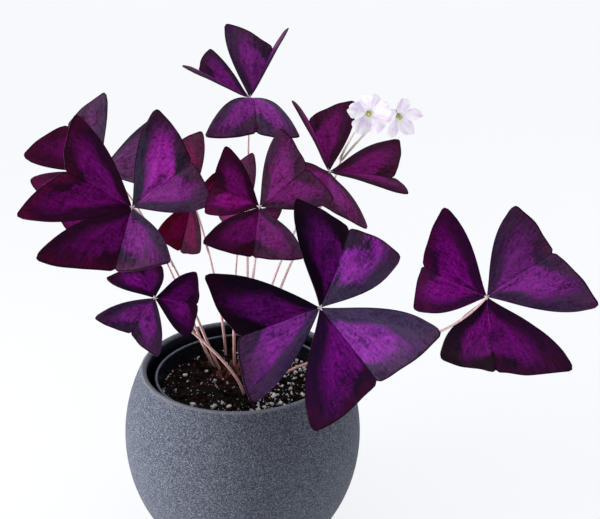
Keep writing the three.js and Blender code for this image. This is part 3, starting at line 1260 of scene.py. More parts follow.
@dataclass
class PottingSoil:
    """Peat with perlite, crumbs and fibres, heaped a little round the stems."""

    radius: float = 47.2
    bottom_radius: float = 33.2
    bottom: float = 8.2
    edge_height: float = 98.0
    crown_height: float = 100.5
    lump: float = 1.1
    cells: int = 84
    grains: int = 520
    edge_grains: int = 260
    dust: int = 520
    crumbs: int = 560
    fibres: int = 150
    links: int = 4
    old_stems: int = 22
    crown_place: Spot = (-9.0, 12.0)
    waves: tuple[Point, ...] = ((1.0, 0.11, 0), (0.6, 0.33, 9), (0.45, 0.9, 4))
    dry_chance: float = 0.10
    right_chance: float = 0.6
    near_chance: float = 0.3
    right_side: float = 8.0
    near_side: float = -24.0
    small_bias: float = 2.2
    squash: Spot = (0.5, 1.4)
    jag: float = 0.85
    jag_scale: float = 1.1
    rise: float = 0.35
    stub_height: Spot = (2.5, 7.0)
    stub_radius: Spot = (0.6, 1.1)
    stub_taper: float = 0.55
    stub_spread: float = 6.0
    stub_lean: float = 0.6
    stub_sunk: float = 0.8
    fibre_length: Spot = (3.0, 9.0)
    fibre_radius: Spot = (0.12, 0.3)
    fibre_bend: float = 0.5
    fibre_arch: Spot = (0.2, 1.1)
    fibre_lift: float = 0.5
    dice: random.Random = field(default_factory=lambda: random.Random(SEED))

    def height(self, x: float, y: float) -> float:
        """Work out the height of the soil.

        Args:
            x: The place, in millimetres.
            y: The place, in millimetres.

        Returns:
            The height there, in millimetres.
        """
        share = math.hypot(x, y) / self.radius
        crown = self.crown_height - (self.crown_height - self.edge_height) * share * share
        wave = 0.0
        for part, pitch, level in self.waves:
            wave += part * noise.noise(Vector((x, y, level)) * pitch)
        return crown + self.lump * wave * (1 - share**6)

    def bed(self) -> Piece:
        """Shape the peat: a lumpy round top over a tapered root ball.

        Returns:
            The finished bed.
        """
        bed = sheet_grid(self.cells, self.cells)
        places = grid_places(bed)
        x, y = places[:, 0].copy(), places[:, 1].copy()
        places[:, 0] = x * np.sqrt(1 - y * y / 2) * self.radius
        places[:, 1] = y * np.sqrt(1 - x * x / 2) * self.radius
        places[:, 2] = [self.height(px, py) for px, py in places[:, :2]]
        set_places(bed, places * MM)
        take(bed)
        bpy.ops.object.mode_set(mode="EDIT")
        bpy.ops.mesh.select_all(action="DESELECT")
        bpy.ops.mesh.select_mode(type="EDGE")
        bpy.ops.mesh.select_non_manifold()
        drop = (self.bottom - self.edge_height) * MM
        bpy.ops.mesh.extrude_edges_move(TRANSFORM_OT_translate={"value": (0, 0, drop)})
        taper = self.bottom_radius / self.radius
        middle = (0, 0, self.bottom * MM)
        bpy.ops.transform.resize(value=(taper, taper, 0.0), center_override=middle)
        bpy.ops.mesh.edge_face_add()
        bpy.ops.mesh.select_all(action="SELECT")
        bpy.ops.mesh.normals_make_consistent(inside=False)
        bpy.ops.object.mode_set(mode="OBJECT")
        smooth(bed, 60)
        return settle(bed, "peat_bed", [Peat().material()], ("potting_soil",))

    def anywhere(self) -> Spot:
        """Pick a place on the bed.

        Returns:
            The place, in millimetres.
        """
        distance = math.sqrt(self.dice.random()) * (self.radius - 1.5)
        turn = self.dice.uniform(0, 2 * math.pi)
        return distance * math.cos(turn), distance * math.sin(turn)

    def watered_place(self) -> Spot:
        """Pick a place, more often on the right and near sides, where water bares the grains.

        Returns:
            The place, in millimetres.
        """
        while True:
            x, y = self.anywhere()
            chance = self.dry_chance + self.right_chance * (x > self.right_side)
            if self.dice.random() < chance + self.near_chance * (y < self.near_side):
                return x, y

    def edge_place(self) -> Spot:
        """Pick a place beside the pot's wall.

        Returns:
            The place, in millimetres.
        """
        distance = self.radius - abs(self.dice.gauss(0.4, 0.7))
        turn = self.dice.uniform(0, 2 * math.pi)
        return distance * math.cos(turn), distance * math.sin(turn)

    def scatter(
        self, name: str, count: int, sizes: Spot, where: Callable[[], Spot], finish: Material
    ) -> Piece:
        """Strew broken grains over the bed.

        Args:
            name: The piece's name.
            count: Number of grains.
            sizes: Least and greatest grain radius, in millimetres.
            where: Picks a grain's place.
            finish: The grains' material.

        Returns:
            All the grains as one piece.
        """
        deselect()
        bpy.ops.mesh.primitive_uv_sphere_add(segments=7, ring_count=5, radius=1.0)
        grains = bpy.context.object
        ball = grid_places(grains)
        rounds = [tuple(face.vertices) for face in grains.data.polygons]
        places, faces = [], []
        dice = self.dice
        for number in range(count):
            x, y = where()
            size = sizes[0] + (sizes[1] - sizes[0]) * dice.random() ** self.small_bias
            squash = np.array([dice.uniform(*self.squash) for _ in range(3)])
            spin = Matrix.Rotation(dice.uniform(0, ABOUT_A_TURN), 3, "Z")
            spin = spin @ Matrix.Rotation(dice.uniform(0, ABOUT_A_TURN), 3, "X")
            shape = ball * (1 + self.jag * swell(ball, self.jag_scale, number)[:, None])
            grain = shape * squash * size @ np.array(spin).T
            lift = self.height(x, y) + size * self.rise
            start = len(places)
            places += [tuple((point + np.array((x, y, lift))) * MM) for point in grain]
            faces += [tuple(start + corner for corner in face) for face in rounds]
        remake(grains, places, faces)
        smooth(grains, 24)
        return settle(grains, name, [finish])

    def stubs(self) -> Piece:
        """Stand the reddish bases of old stems where the plant springs from its bulbs.

        Returns:
            All the bases as one piece.
        """
        parts = []
        dice = self.dice
        for _ in range(self.old_stems):
            deselect()
            height, width = dice.uniform(*self.stub_height), dice.uniform(*self.stub_radius)
            top = width * self.stub_taper
            bpy.ops.mesh.primitive_cone_add(
                vertices=8, radius1=width * MM, radius2=top * MM, depth=height * MM)
            stub = bpy.context.object
            x, y = (dice.gauss(middle, self.stub_spread) for middle in self.crown_place)
            most = self.stub_lean
            lean = Matrix.Rotation(dice.uniform(-most, most), 4, "X")
            lean = lean @ Matrix.Rotation(dice.uniform(-most, most), 4, "Y")
            foot = Matrix.Translation(metres((x, y, self.height(x, y) - self.stub_sunk)))
            place(stub, foot @ lean @ Matrix.Translation((0, 0, height * 0.5 * MM)))
            parts.append(stub)
        clump = join(parts)
        smooth(clump, 50)
        red, pale, streak = rgb(70, 26, 22), rgb(146, 84, 76), rgb(178, 120, 108)
        skin = StemSkin("old_stem", red, pale, streak, 0.098, 0.108)
        return settle(clump, "old_stem_bases", [skin.material()])

    def strand(self, places: list[Point], faces: list[tuple[int, ...]]) -> None:
        """Lay one short bent three-sided fibre over the bed.

        Args:
            places: The vertices so far, in metres, which the fibre's are added to.
            faces: The faces so far, which the fibre's are added to.
        """
        dice, links = self.dice, self.links
        distance = math.sqrt(dice.random()) * (self.radius - 6)
        turn, way = dice.uniform(0, ABOUT_A_TURN), dice.uniform(0, ABOUT_A_TURN)
        x, y = distance * math.cos(turn), distance * math.sin(turn)
        length = dice.uniform(*self.fibre_length)
        bend = dice.uniform(-self.fibre_bend, self.fibre_bend)
        thick = dice.uniform(*self.fibre_radius)
        start = len(places)
        for link in range(links + 1):
            heading = way + bend * link
            x += math.cos(heading) * length / links
            y += math.sin(heading) * length / links
            arch = math.sin(link / links * math.pi) * dice.uniform(*self.fibre_arch)
            middle = Vector((x, y, self.height(x, y) + self.fibre_lift + arch))
            for corner in range(3):
                angle = corner * 2 * math.pi / 3
                side = Vector((-math.sin(heading), math.cos(heading), 0)) * math.cos(angle)
                out = side + Vector((0, 0, math.sin(angle)))
                places.append(tuple((middle + out * thick) * MM))
        for link in range(links):
            for corner in range(3):
                near, far = (start + link * 3 + (corner + n) % 3 for n in (0, 1))
                faces.append((near, far, far + 3, near + 3))
        faces.append((start + 2, start + 1, start))
        end = start + links * 3
        faces.append((end, end + 1, end + 2))

    def strands(self) -> Piece:
        """Lay the peat's fibres over the bed.

        Returns:
            All the fibres as one piece.
        """
        deselect()
        bpy.ops.mesh.primitive_cylinder_add(vertices=3, radius=1.0, depth=2.0)
        strands = bpy.context.object
        places, faces = [], []
        for _ in range(self.fibres):
            self.strand(places, faces)
        remake(strands, places, faces)
        smooth(strands, 60)
        finish = Peat("peat_fibre", rgb(40, 20, 15), rgb(84, 46, 32), rgb(118, 62, 44))
        return settle(strands, "peat_fibres", [finish.material()])

    def build(self) -> list[Piece]:
        """Make the bed and all that lies on it.

        Returns:
            The finished pieces.
        """
        crumb = Peat("peat_crumb", rgb(12, 8, 7), rgb(40, 24, 19), rgb(78, 40, 28)).material()
        white = Perlite().material()
        return [
            self.bed(),
            self.scatter("perlite_grains", self.grains, (0.3, 1.25), self.watered_place, white),
            self.scatter("perlite_dust", self.dust, (0.12, 0.42), self.anywhere, white),
            self.scatter("edge_perlite", self.edge_grains, (0.2, 0.7), self.edge_place, white),
            self.scatter("peat_crumbs", self.crumbs, (0.5, 1.8), self.anywhere, crumb),
            self.strands(),
            self.stubs(),
        ]


# ------------------------------------------------------------------ leaves


@dataclass
class Stem:
    """The line of a stem: its root on the soil and the offsets of its curve's handles."""

    root: Spot
    first: Point
    last: Point
    foot_radius: float = 0.9
    top_radius: float = 0.68
    sunk: float = 2.0

    def build(self, top: Vector, foot_height: float) -> Piece:
        """Draw the stem as a tapered tube.

        Args:
            top: Its upper end, in metres.
            foot_height: Height of the soil at its root, in millimetres.

        Returns:
            The tube, as a closed mesh.
        """
        deselect()
        bpy.ops.curve.primitive_bezier_curve_add()
        tube = bpy.context.object
        start = metres((*self.root, foot_height))
        line = tube.data
        foot, head = line.splines[0].bezier_points
        for point in (foot, head):
            point.handle_left_type = point.handle_right_type = "FREE"
        foot.co = start - metres((0, 0, self.sunk))
        foot.handle_left = start - metres((0, 0, 1))
        foot.handle_right = start + metres(self.first)
        foot.radius = self.foot_radius
        head.co = top
        head.handle_left = head.handle_right = top + metres(self.last)
        head.radius = self.top_radius
        line.dimensions = "3D"
        line.bevel_depth = MM
        line.bevel_resolution = 3
        line.resolution_u = 40
        line.use_fill_caps = True
        take(tube)
        bpy.ops.object.convert(target="MESH")
        tube = bpy.context.object
        weld(0.01)
        return tube


@dataclass
class Leaflet:
    """One heart-shaped blade, folded along its midrib.

    Length is from hub to notch; spin goes clockwise round the hub from the leaf's upper
    side; droop is away from the leaf's face; roll is about the midrib; fold is that of each
    half below the midrib; the reaches are the lobes' and the bow is the blade's rise
    between hub and notch, as shares of the length. Left and right are seen from the hub.
    """

    length: float
    spin: float
    droop: float
    roll: float
    fold: float
    left_reach: float
    right_reach: float
    # each half's painted light, shade and sheen
    left: PaintedLight
    right: PaintedLight
    bow: float = 0.03

    COLUMNS = 56
    ROWS = 26
    USUAL_LENGTH = 45.0
    TIP_ANGLE = 38.0
    SIDE_BULGE = 2.5
    COLUMN_CROWDING = 1.15
    LOBE_COLUMN = 0.88
    LOBE_RISE = 1.2
    SHOULDER = 0.86
    LOBE_ROUND = 1.6
    CORNER = 1.012
    CORNER_SOFTNESS = 0.016
    BASE_REACH = 0.9
    THICKNESS = 0.45
    CREASE = 0.2
    CROWN = 0.9
    RIDGE = 4.0
    RIDGE_WIDTH = 13.0
    RIDGE_SINK = 0.55
    RIDGE_START = 0.4
    RIDGE_FALL = 0.25
    RIPPLE = 0.5
    RIPPLE_SCALE = 0.075
    NOTCH = 0.035
    NOTCH_WIDTH = 0.03
    NOTCH_FADE = 0.8
    NOTCH_DEPTH = 0.008
    WAVER = 0.022
    WAVER_SCALE = 3.4
    WAVER_GROWTH = 6

    def outline(self, column: np.ndarray) -> np.ndarray:
        """Draw the outer edge.

        Args:
            column: Places across the blade, from -1 to 1.

        Returns:
            How far the edge lies from the hub at each of them, as a share of the length.
        """
        across = np.abs(column)
        lobe = np.where(column < 0, self.left_reach, self.right_reach)
        rise = 1 + (lobe - 1) * (across / self.LOBE_COLUMN) ** self.LOBE_RISE
        past = np.clip((across - self.LOBE_COLUMN) / (1 - self.LOBE_COLUMN), 0, 1)
        drop = (1 - past**self.LOBE_ROUND) ** (1 / self.LOBE_ROUND)
        fall = lobe * (self.SHOULDER + (1 - self.SHOULDER) * drop) * self.CORNER
        soft = self.CORNER_SOFTNESS
        edge = -soft * np.log(np.exp(-rise / soft) + np.exp(-fall / soft))
        notch = self.NOTCH * (1 - np.exp(-((across / self.NOTCH_WIDTH) ** 2)))
        return edge + notch * np.clip(1 - across / self.NOTCH_FADE, 0, 1) - self.NOTCH_DEPTH

    def surface(self, flat: np.ndarray, spread: float, seed: float) -> np.ndarray:
        """Shape the blade round its hub, along +Y and with its upper face towards +Z.

        Args:
            flat: Places on the flat grid, from -1 to 1 each way.
            spread: Half angle of the blade near the hub, in degrees.
            seed: A number that makes the blade's ripples its own.

        Returns:
            The shaped places, in millimetres.
        """
        column = np.sign(flat[:, 0]) * np.abs(flat[:, 0]) ** self.COLUMN_CROWDING
        beside = np.abs(column)
        along = (flat[:, 1] + 1) / 2
        size = self.length / self.USUAL_LENGTH
        opening = (spread - self.TIP_ANGLE) * (1 - along**self.SIDE_BULGE)
        half = np.radians(self.TIP_ANGLE + opening)
        line = rows(column * self.WAVER_SCALE, 0 * column, 0 * column)
        outer = self.length * self.outline(column)
        outer *= 1 + self.WAVER * swell(line, 1.0, seed) * np.minimum(beside * self.WAVER_GROWTH, 1)
        reach = self.BASE_REACH + (outer - self.BASE_REACH) * along
        across, up = reach * np.sin(column * half), reach * np.cos(column * half)
        fold = math.radians(self.fold)
        creased = np.sqrt(across**2 + self.CREASE**2) - self.CREASE
        lift = self.bow * self.length * np.sin(np.pi * along)
        ridge = math.copysign(self.RIDGE, self.fold) * size
        risen = np.sin(np.pi / 2 * np.minimum(along / self.RIDGE_START, 1))
        risen *= 1 - self.RIDGE_FALL * along
        lift += ridge * (np.exp(-creased / self.RIDGE_WIDTH) - self.RIDGE_SINK) * risen
        lift += self.CROWN * np.sin(np.pi * beside) * np.sin(np.pi * along) * size
        waves = swell(rows(across, up, 0 * up), self.RIPPLE_SCALE, seed)
        lift += self.RIPPLE * waves * along * beside**0.5
        return rows(across * math.cos(fold), up, lift - creased * math.sin(fold))

    def turned(self) -> Matrix:
        """Return the blade's turn inside its leaf."""
        lean = turn_about("X", -self.droop) @ turn_about("Y", self.roll)
        return turn_about("Z", -self.spin) @ lean

    def build(self, spread: float, leaf_place: Matrix, seed: float) -> Piece:
        """Model the blade where it grows.

        Args:
            spread: Half angle of the blade near the hub, in degrees.
            leaf_place: The leaf's place in the frame.
            seed: A number that makes the blade its own.

        Returns:
            The blade with its upper, under and rim faces told apart.
        """
        blade = sheet_grid(self.COLUMNS, self.ROWS)
        flat = grid_places(blade)
        set_places(blade, self.surface(flat, spread, seed) * MM)
        # mark each half's painted light and shade (ground, patch), its painted sheen (bloom, far)
        # and its patch shift
        left, right = (np.array(astuple(tone.value)) for tone in (self.left, self.right))
        ground, patch, bloom, far, shift = np.where(flat[:, :1] < 0, left, right).T
        along = (flat[:, 1] + 1) / 2
        mark(blade, "ground", ground)
        mark(blade, "patch", patch)
        mark(blade, "shift", shift)
        mark(blade, "bloom", bloom * (1 + (far - 1) * along))
        for skin in worn(*("blade_" + face.name.lower() for face in BladeFace)):
            blade.data.materials.append(skin)
        modify(
            blade,
            "SOLIDIFY",
            thickness=self.THICKNESS * MM,
            offset=0.0,
            material_offset=BladeFace.UNDER.value,
            material_offset_rim=BladeFace.RIM.value,
        )
        smooth(blade, 50)
        place(blade, leaf_place @ self.turned())
        return blade


@dataclass
class Leaf:
    """A stem with three blades round its hub."""

    name: str
    hub: Point
    turn: float
    tilt: float
    spread: float
    stem: Stem
    leaflets: tuple[Leaflet, Leaflet, Leaflet]
    warm: float = 0.0
    blush: float = 0.3
    knob: float = 0.8
    arm_foot: float = 0.5
    arm_tip: float = 0.25
    arm_length: float = 2.0
    arm_out: float = 1.2
    arm_up: float = 0.1

    def stand(self) -> Matrix:
        """Return the leaf's place in the frame."""
        return standing(self.hub, self.turn, self.tilt)

    def knot(self) -> Piece:
        """Shape the small swollen knot from which the blades spring.

        Returns:
            The knot, in its place.
        """
        deselect()
        bpy.ops.mesh.primitive_uv_sphere_add(segments=14, ring_count=9, radius=self.knob * MM)
        arms = [bpy.context.object]
        for leaflet in self.leaflets:
            deselect()
            foot, tip = self.arm_foot * MM, self.arm_tip * MM
            bpy.ops.mesh.primitive_cone_add(
                vertices=8, radius1=foot, radius2=tip, depth=self.arm_length * MM)
            arm = bpy.context.object
            out = Matrix.Translation((0, self.arm_out * MM, self.arm_up * MM))
            place(arm, leaflet.turned() @ out @ turn_about("X", -90))
            arms.append(arm)
        knot = join(arms)
        place(knot, self.stand())
        return knot

    def build(self, soil: PottingSoil, number: int) -> list[Piece]:
        """Model the stem and the blades.

        Args:
            soil: The soil in which the leaf stands.
            number: The leaf's number among all leaves.

        Returns:
            The finished pieces.
        """
        tube = self.stem.build(metres(self.hub), soil.height(*self.stem.root))
        tube = join([tube, self.knot()])
        smooth(tube, 60)
        nodes = (f"petiole_{self.name}",)
        made = [settle(tube, f"leaf_stem_{self.name}", worn("leaf_stem"), nodes)]
        for index, leaflet in enumerate(self.leaflets, start=1):
            seed = number * 3 + index
            blade = leaflet.build(self.spread, self.stand(), seed)
            mark(blade, "seed", seed)
            mark(blade, "warm", self.warm)
            mark(blade, "blush", self.blush)
            nodes = (f"leaf_{self.name}_leaflet_{index}",)
            made.append(settle(blade, f"blade_{self.name}_{index}", [], nodes))
        return made


def leaves() -> list[Leaf]:
    """List the plant's leaves, from the front one to the inner one.

    Returns:
        Every leaf, with its stem and its three blades.
    """
    return [
        Leaf("front", (43, -95, 190), 25, 65, 46, Stem((12, 2), (0, 0, 45), (-12, 26, -14)), (
            Leaflet(44, 38, 15, 10, 5, 1.2, 1.55, PaintedLight.INKY, PaintedLight.DUSKY),
            Leaflet(49, 145, 15, 15, 15, 1.55, 1.4, PaintedLight.SILVER, PaintedLight.DEEP),
            Leaflet(40, 262, 0, 5, 10, 1.3, 1.35, PaintedLight.SATIN, PaintedLight.INKY))),
        Leaf("right", (139, -5, 157), -20, 72, 46, Stem((16, -2), (20, 0, 30), (-32, 8, -50)), (
            Leaflet(48, 48, 30, -5, 15, 1.4, 1.45, PaintedLight.EVEN, PaintedLight.SATIN),
            Leaflet(51, 170, 30, 5, 20, 1.5, 1.35, PaintedLight.DEEP, PaintedLight.INKY),
            Leaflet(44, 287, 20, -10, 20, 1.35, 1.45, PaintedLight.DEEP, PaintedLight.DEEP)), 0.15),
        Leaf("left", (-53, -23, 215), 25, 70, 46, Stem((-14, 16), (-10, 0, 20), (15, 25, -25)), (
            Leaflet(41, 60, 5, 5, 20, 1.45, 1.25, PaintedLight.VIVID, PaintedLight.SILVER),
            Leaflet(42, 212, -35, 20, -10, 1.1, 1.5, PaintedLight.SILVER, PaintedLight.DEEP),
            Leaflet(38, 305, -5, -5, 20, 1.5, 1.45, PaintedLight.DEEP, PaintedLight.PLAIN)), 0.3, 0.7),
        Leaf("back_left", (-82, 35, 218), -15, 65, 42, Stem((-18, 21), (-15, 0, 30), (20, 20, -10)),
            (
            Leaflet(34, 60, 5, -10, 20, 1.4, 1.25, PaintedLight.MISTY, PaintedLight.MISTY),
            Leaflet(34, 230, 0, -5, 20, 1.3, 1.5, PaintedLight.PLAIN, PaintedLight.PLAIN),
            Leaflet(40, 315, 10, -5, 5, 1.65, 1.3, PaintedLight.BARE, PaintedLight.MISTY)), 0.45),
        Leaf("mid_left", (-29, 30, 203), 0, 70, 46, Stem((-13, 37), (0, 0, 40), (0, 30, -15)), (
            Leaflet(31, 332, 5, 0, 15, 1.4, 1.4, PaintedLight.ROSY, PaintedLight.ROSY),
            Leaflet(18, 75, 20, 45, 30, 1.3, 1.3, PaintedLight.CLEAR, PaintedLight.CLEAR),
            Leaflet(30, 195, 10, -20, 45, 1.35, 1.1, PaintedLight.SATIN, PaintedLight.BARE)), 1.0),
        Leaf("top", (5, 45, 260), 15, 25, 43, Stem((2, 27), (0, 0, 50), (-2, 6, -20)), (
            Leaflet(39, 31, -20, -28, -34, 1.37, 1.16, PaintedLight.SATIN, PaintedLight.SATIN, 0),
            Leaflet(37, 186, -3, -3, 2, 1.18, 1.29, PaintedLight.SILVER, PaintedLight.SATIN, 0.18),
            Leaflet(32, 298, -20, 16, -12, 1.5, 1.28, PaintedLight.CLEAR, PaintedLight.CLEAR, 0)), 0.25),
        Leaf("centre", (13, -22, 215), 0, 70, 46, Stem((2, 12), (0, 0, 40), (-1, 10, -25)), (
            Leaflet(31.5, 50, 10, 10, 20, 1.45, 1.4, PaintedLight.SATIN, PaintedLight.SATIN),
            Leaflet(35, 185, -45, -5, -5, 1.25, 1.25, PaintedLight.SATIN, PaintedLight.PLAIN),
            Leaflet(26, 297, 5, -5, 25, 1.25, 1.5, PaintedLight.PLAIN, PaintedLight.PLAIN)), 0.5),
        Leaf("upper_right", (51, 35, 219), 45, 35, 43, Stem((8, 20), (0, 0, 55), (-12, 12, -25)), (
            Leaflet(37, 15, -10, 10, -25, 1.25, 1.5, PaintedLight.CLEAR, PaintedLight.CLEAR),
            Leaflet(38, 125, -15, -10, -10, 1.5, 1.3, PaintedLight.CLEAR, PaintedLight.CLEAR),
            Leaflet(38, 235, -10, -10, -10, 1.35, 1.3, PaintedLight.SATIN, PaintedLight.CLEAR)), 0.55),
        Leaf("low_left", (-43, -30, 167), 40, 50, 46, Stem((2, -16), (0, 0, 20), (3, 30, -25)), (
            Leaflet(22, 5, 20, -5, 20, 1.4, 1.4, PaintedLight.PLAIN, PaintedLight.PLAIN),
            Leaflet(26, 110, 10, 15, 20, 1.4, 1.3, PaintedLight.DEEP, PaintedLight.PLAIN),
            Leaflet(25, 235, 0, 5, 5, 1.3, 1.35, PaintedLight.SATIN, PaintedLight.SATIN)), 0.1),
        Leaf("inner", (4, 27, 197), 0, 75, 45, Stem((-6, 18), (0, 0, 40), (-10, 20, -15)), (
            Leaflet(24, 330, 0, 0, 10, 1.05, 1.45, PaintedLight.ROSY, PaintedLight.ROSY),
            Leaflet(16, 120, 10, 0, 25, 1.3, 1.2, PaintedLight.SATIN, PaintedLight.SATIN),
            Leaflet(14.5, 230, 5, 0, 20, 1.2, 1.3, PaintedLight.SATIN, PaintedLight.SATIN)), 0.7),
    ]


# ------------------------------------------------------------------ flowers


@dataclass
class Bloom:
    """A pale lilac bloom with its calyx, stamens and the stalk that carries it."""

    hand: Hand
    throat: Point
    turn: float
    tilt: float
    petals: int = 5
    petal_width: float = 12.0
    claw_width: float = 1.8
    fullness: float = 0.65
    throat_radius: float = 1.2
    mouth_radius: float = 12.2
    flare: float = 1.6
    depth: float = 9.0
    thickness: float = 0.3
    frayed: float = 0.07
    notch: float = 0.05
    notch_width: float = 0.16
    ripple: float = 1.1
    lengths: Spot = (0.90, 1.06)
    widths: Spot = (0.80, 1.05)
    corner: float = 0.2
    corner_round: float = 2.4
    cup: float = 1.2
    foot_height: float = 0.4
    free_reach: float = 0.83
    free_share: float = 0.72
    calyx_radius: float = 1.9
    calyx_depth: float = 4.0
    sepal_width: float = 1.15
    sepal_past: float = 1.2
    anthers: int = 8
    long_thread: float = 5.0
    short_thread: float = 3.6
    thread_radius: float = 0.14
    thread_out: float = 0.8
    thread_lean: float = -9.0
    anther_radius: float = 0.42
    stalk_foot: float = 0.72
    stalk_top: float = 0.62
    stalk_bow: float = 3.4
    stalk_run: float = 9.0

    def stand(self) -> Matrix:
        """Return the bloom's place in the frame."""
        return standing(self.throat, self.turn, self.tilt)

    def side(self) -> str:
        """Return the name of the bloom's side."""
        return self.hand.name.lower()

    def finish(self, piece: Piece, name: str, slot: Slot, skin: str, node: str) -> Piece:
        """Name, dress and tie a piece of the bloom, with its side in its names.

        Args:
            piece: The finished object.
            name: The piece's name, with "{}" for the side.
            slot: The record's slot; not used.
            skin: The name of its material.
            node: The CAD node that it stands for, with "{}" for the side.

        Returns:
            The same object.
        """
        side = self.side()
        return settle(piece, name.format(side), worn(skin), (node.format(side),))

    def petal(self, count: int) -> Piece:
        """Shape one spoon-like petal and set it in its place round the throat.

        Args:
            count: The petal's number, from 0.

        Returns:
            The finished petal.
        """
        petal = sheet_grid(18, 18)
        flat = grid_places(petal)
        seed = count + self.petals * self.hand.value
        dice = random.Random(SEED + seed)
        longer, wider = dice.uniform(*self.lengths), dice.uniform(*self.widths)
        across, share = flat[:, 0], (flat[:, 1] + 1) / 2
        torn = swell(rows(across * 2.2, 0 * across, 0 * across), 1.0, seed)
        rounding = self.corner * np.abs(across) ** self.corner_round
        along = share * (longer - rounding + self.frayed * torn * share**3)
        along -= self.notch * np.exp(-((across / self.notch_width) ** 2)) * share**8
        throat, mouth = self.throat_radius, self.mouth_radius - self.throat_radius
        reach = throat + mouth * along**self.flare
        swelling = np.sin(share * self.fullness * np.pi)
        full = self.claw_width + (self.petal_width - self.claw_width) * swelling
        free = (throat + mouth * (share * self.free_reach) ** self.flare) * self.free_share
        width = np.minimum(full / 2, free) * wider
        ripple = self.ripple * swell(rows(across * 2, share * 2, 0 * share), 1.0, seed) * share
        height = self.foot_height + self.depth * np.sin(along * math.pi / 2)
        height += ripple - self.cup * across**2 * share
        set_places(petal, rows(width * across, reach, height) * MM)
        modify(petal, "SOLIDIFY", thickness=self.thickness * MM, offset=0.0)
        modify(petal, "SUBSURF", levels=1, render_levels=1)
        smooth(petal, 70)
        place(petal, self.stand() @ part_turn(count, self.petals))
        mark(petal, "seed", seed * 1.7)
        name, node = f"petal_{{}}_{count + 1}", f"bloom_{{}}_petal_{count + 1}"
        return self.finish(petal, name, Slot.PETAL, "petal_skin", node)

    def calyx(self) -> Piece:
        """Shape the green cup with its five pointed sepals.

        Returns:
            The finished calyx.
        """
        radius, depth = self.calyx_radius, self.calyx_depth
        wall = [(0.5, -1), (0.8, -0.75), (0.92, -0.4), (0.95, 0)]
        cup = [(0, -depth), *((radius * r, depth * z) for r, z in wall)]
        cup += [(radius * 0.7, 0.1), (0, 0.1)]
        parts = [spun(cup, 24)]
        for count in range(self.petals):
            sepal = sheet_grid(6, 8)
            flat = grid_places(sepal)
            across, share = flat[:, 0], (flat[:, 1] + 1) / 2
            width = self.sepal_width * np.sin(np.pi * np.clip(0.35 + 0.65 * share, 0, 1)) + 0.03
            reach = radius * (0.75 + 0.45 * share + 0.12 * np.sin(share * np.pi))
            height = -depth * 0.75 + share * (depth + self.sepal_past)
            set_places(sepal, rows(width * across, reach, height) * MM)
            modify(sepal, "SOLIDIFY", thickness=self.thickness * MM, offset=0.0)
            place(sepal, part_turn(count + 0.5, self.petals))
            parts.append(sepal)
        calyx = join(parts)
        smooth(calyx, 60)
        place(calyx, self.stand())
        return self.finish(calyx, "calyx_{}", Slot.GREEN, "bloom_green", "bloom_{}_calyx")

    def heart(self) -> Piece:
        """Shape the style and the stamens in the throat.

        Returns:
            The finished style and stamens.
        """
        style = [(0, 0.3), (0.5, 0.3), (0.4, 5.0), (0.75, 5.6), (0.6, 6.3), (0, 6.6)]
        parts = [spun(style, 12)]
        for count in range(self.anthers):
            deselect()
            height = (self.short_thread if count % 2 else self.long_thread) * MM
            radius = self.thread_radius * MM
            bpy.ops.mesh.primitive_cylinder_add(vertices=6, radius=radius, depth=height)
            thread = bpy.context.object
            deselect()
            bpy.ops.mesh.primitive_ico_sphere_add(subdivisions=2, radius=self.anther_radius * MM)
            tip = bpy.context.object
            top = Matrix.Translation((0, 0, height * 0.5))
            place(tip, top @ Matrix.Diagonal((1, 0.7, 1.4, 1)))
            thread = join([thread, tip])
            foot = Matrix.Translation((0, self.thread_out * MM, height * 0.5))
            lean = turn_about("X", self.thread_lean)
            place(thread, part_turn(count, self.anthers) @ foot @ lean)
            parts.append(thread)
        heart = join(parts)
        smooth(heart, 60)
        place(heart, self.stand())
        return self.finish(heart, "heart_{}", Slot.GREEN, "bloom_heart", "bloom_{}_style")

    def stalk(self, umbel: Point) -> Piece:
        """Draw the thin stalk from the umbel to the foot of the calyx.

        Args:
            umbel: The place where the stalks part, in millimetres.

        Returns:
            The finished stalk.
        """
        axis = self.stand().to_3x3() @ Vector((0, 0, 1))
        foot = Vector(self.throat) - axis * (self.calyx_depth - 0.2)
        start = Vector(umbel) + Vector((self.hand.value * 0.6, 0, -0.4))
        rise = start.lerp(foot, 0.3) + Vector((0, 0, self.stalk_bow)) - start
        run = tuple(-axis * self.stalk_run)
        line = Stem((start.x, start.y), tuple(rise), run, self.stalk_foot, self.stalk_top, 0.0)
        stalk = line.build(foot * MM, start.z)
        smooth(stalk, 60)
        return self.finish(stalk, "bloom_stalk_{}", Slot.GREEN, "bloom_stalk", "pedicel_{}")

    def build(self, umbel: Point) -> list[Piece]:
        """Model the whole bloom.

        Args:
            umbel: The place where the stalks part, in millimetres.

        Returns:
            The finished pieces.
        """
        petals = [self.petal(count) for count in range(self.petals)]
        return [*petals, self.calyx(), self.heart(), self.stalk(umbel)]


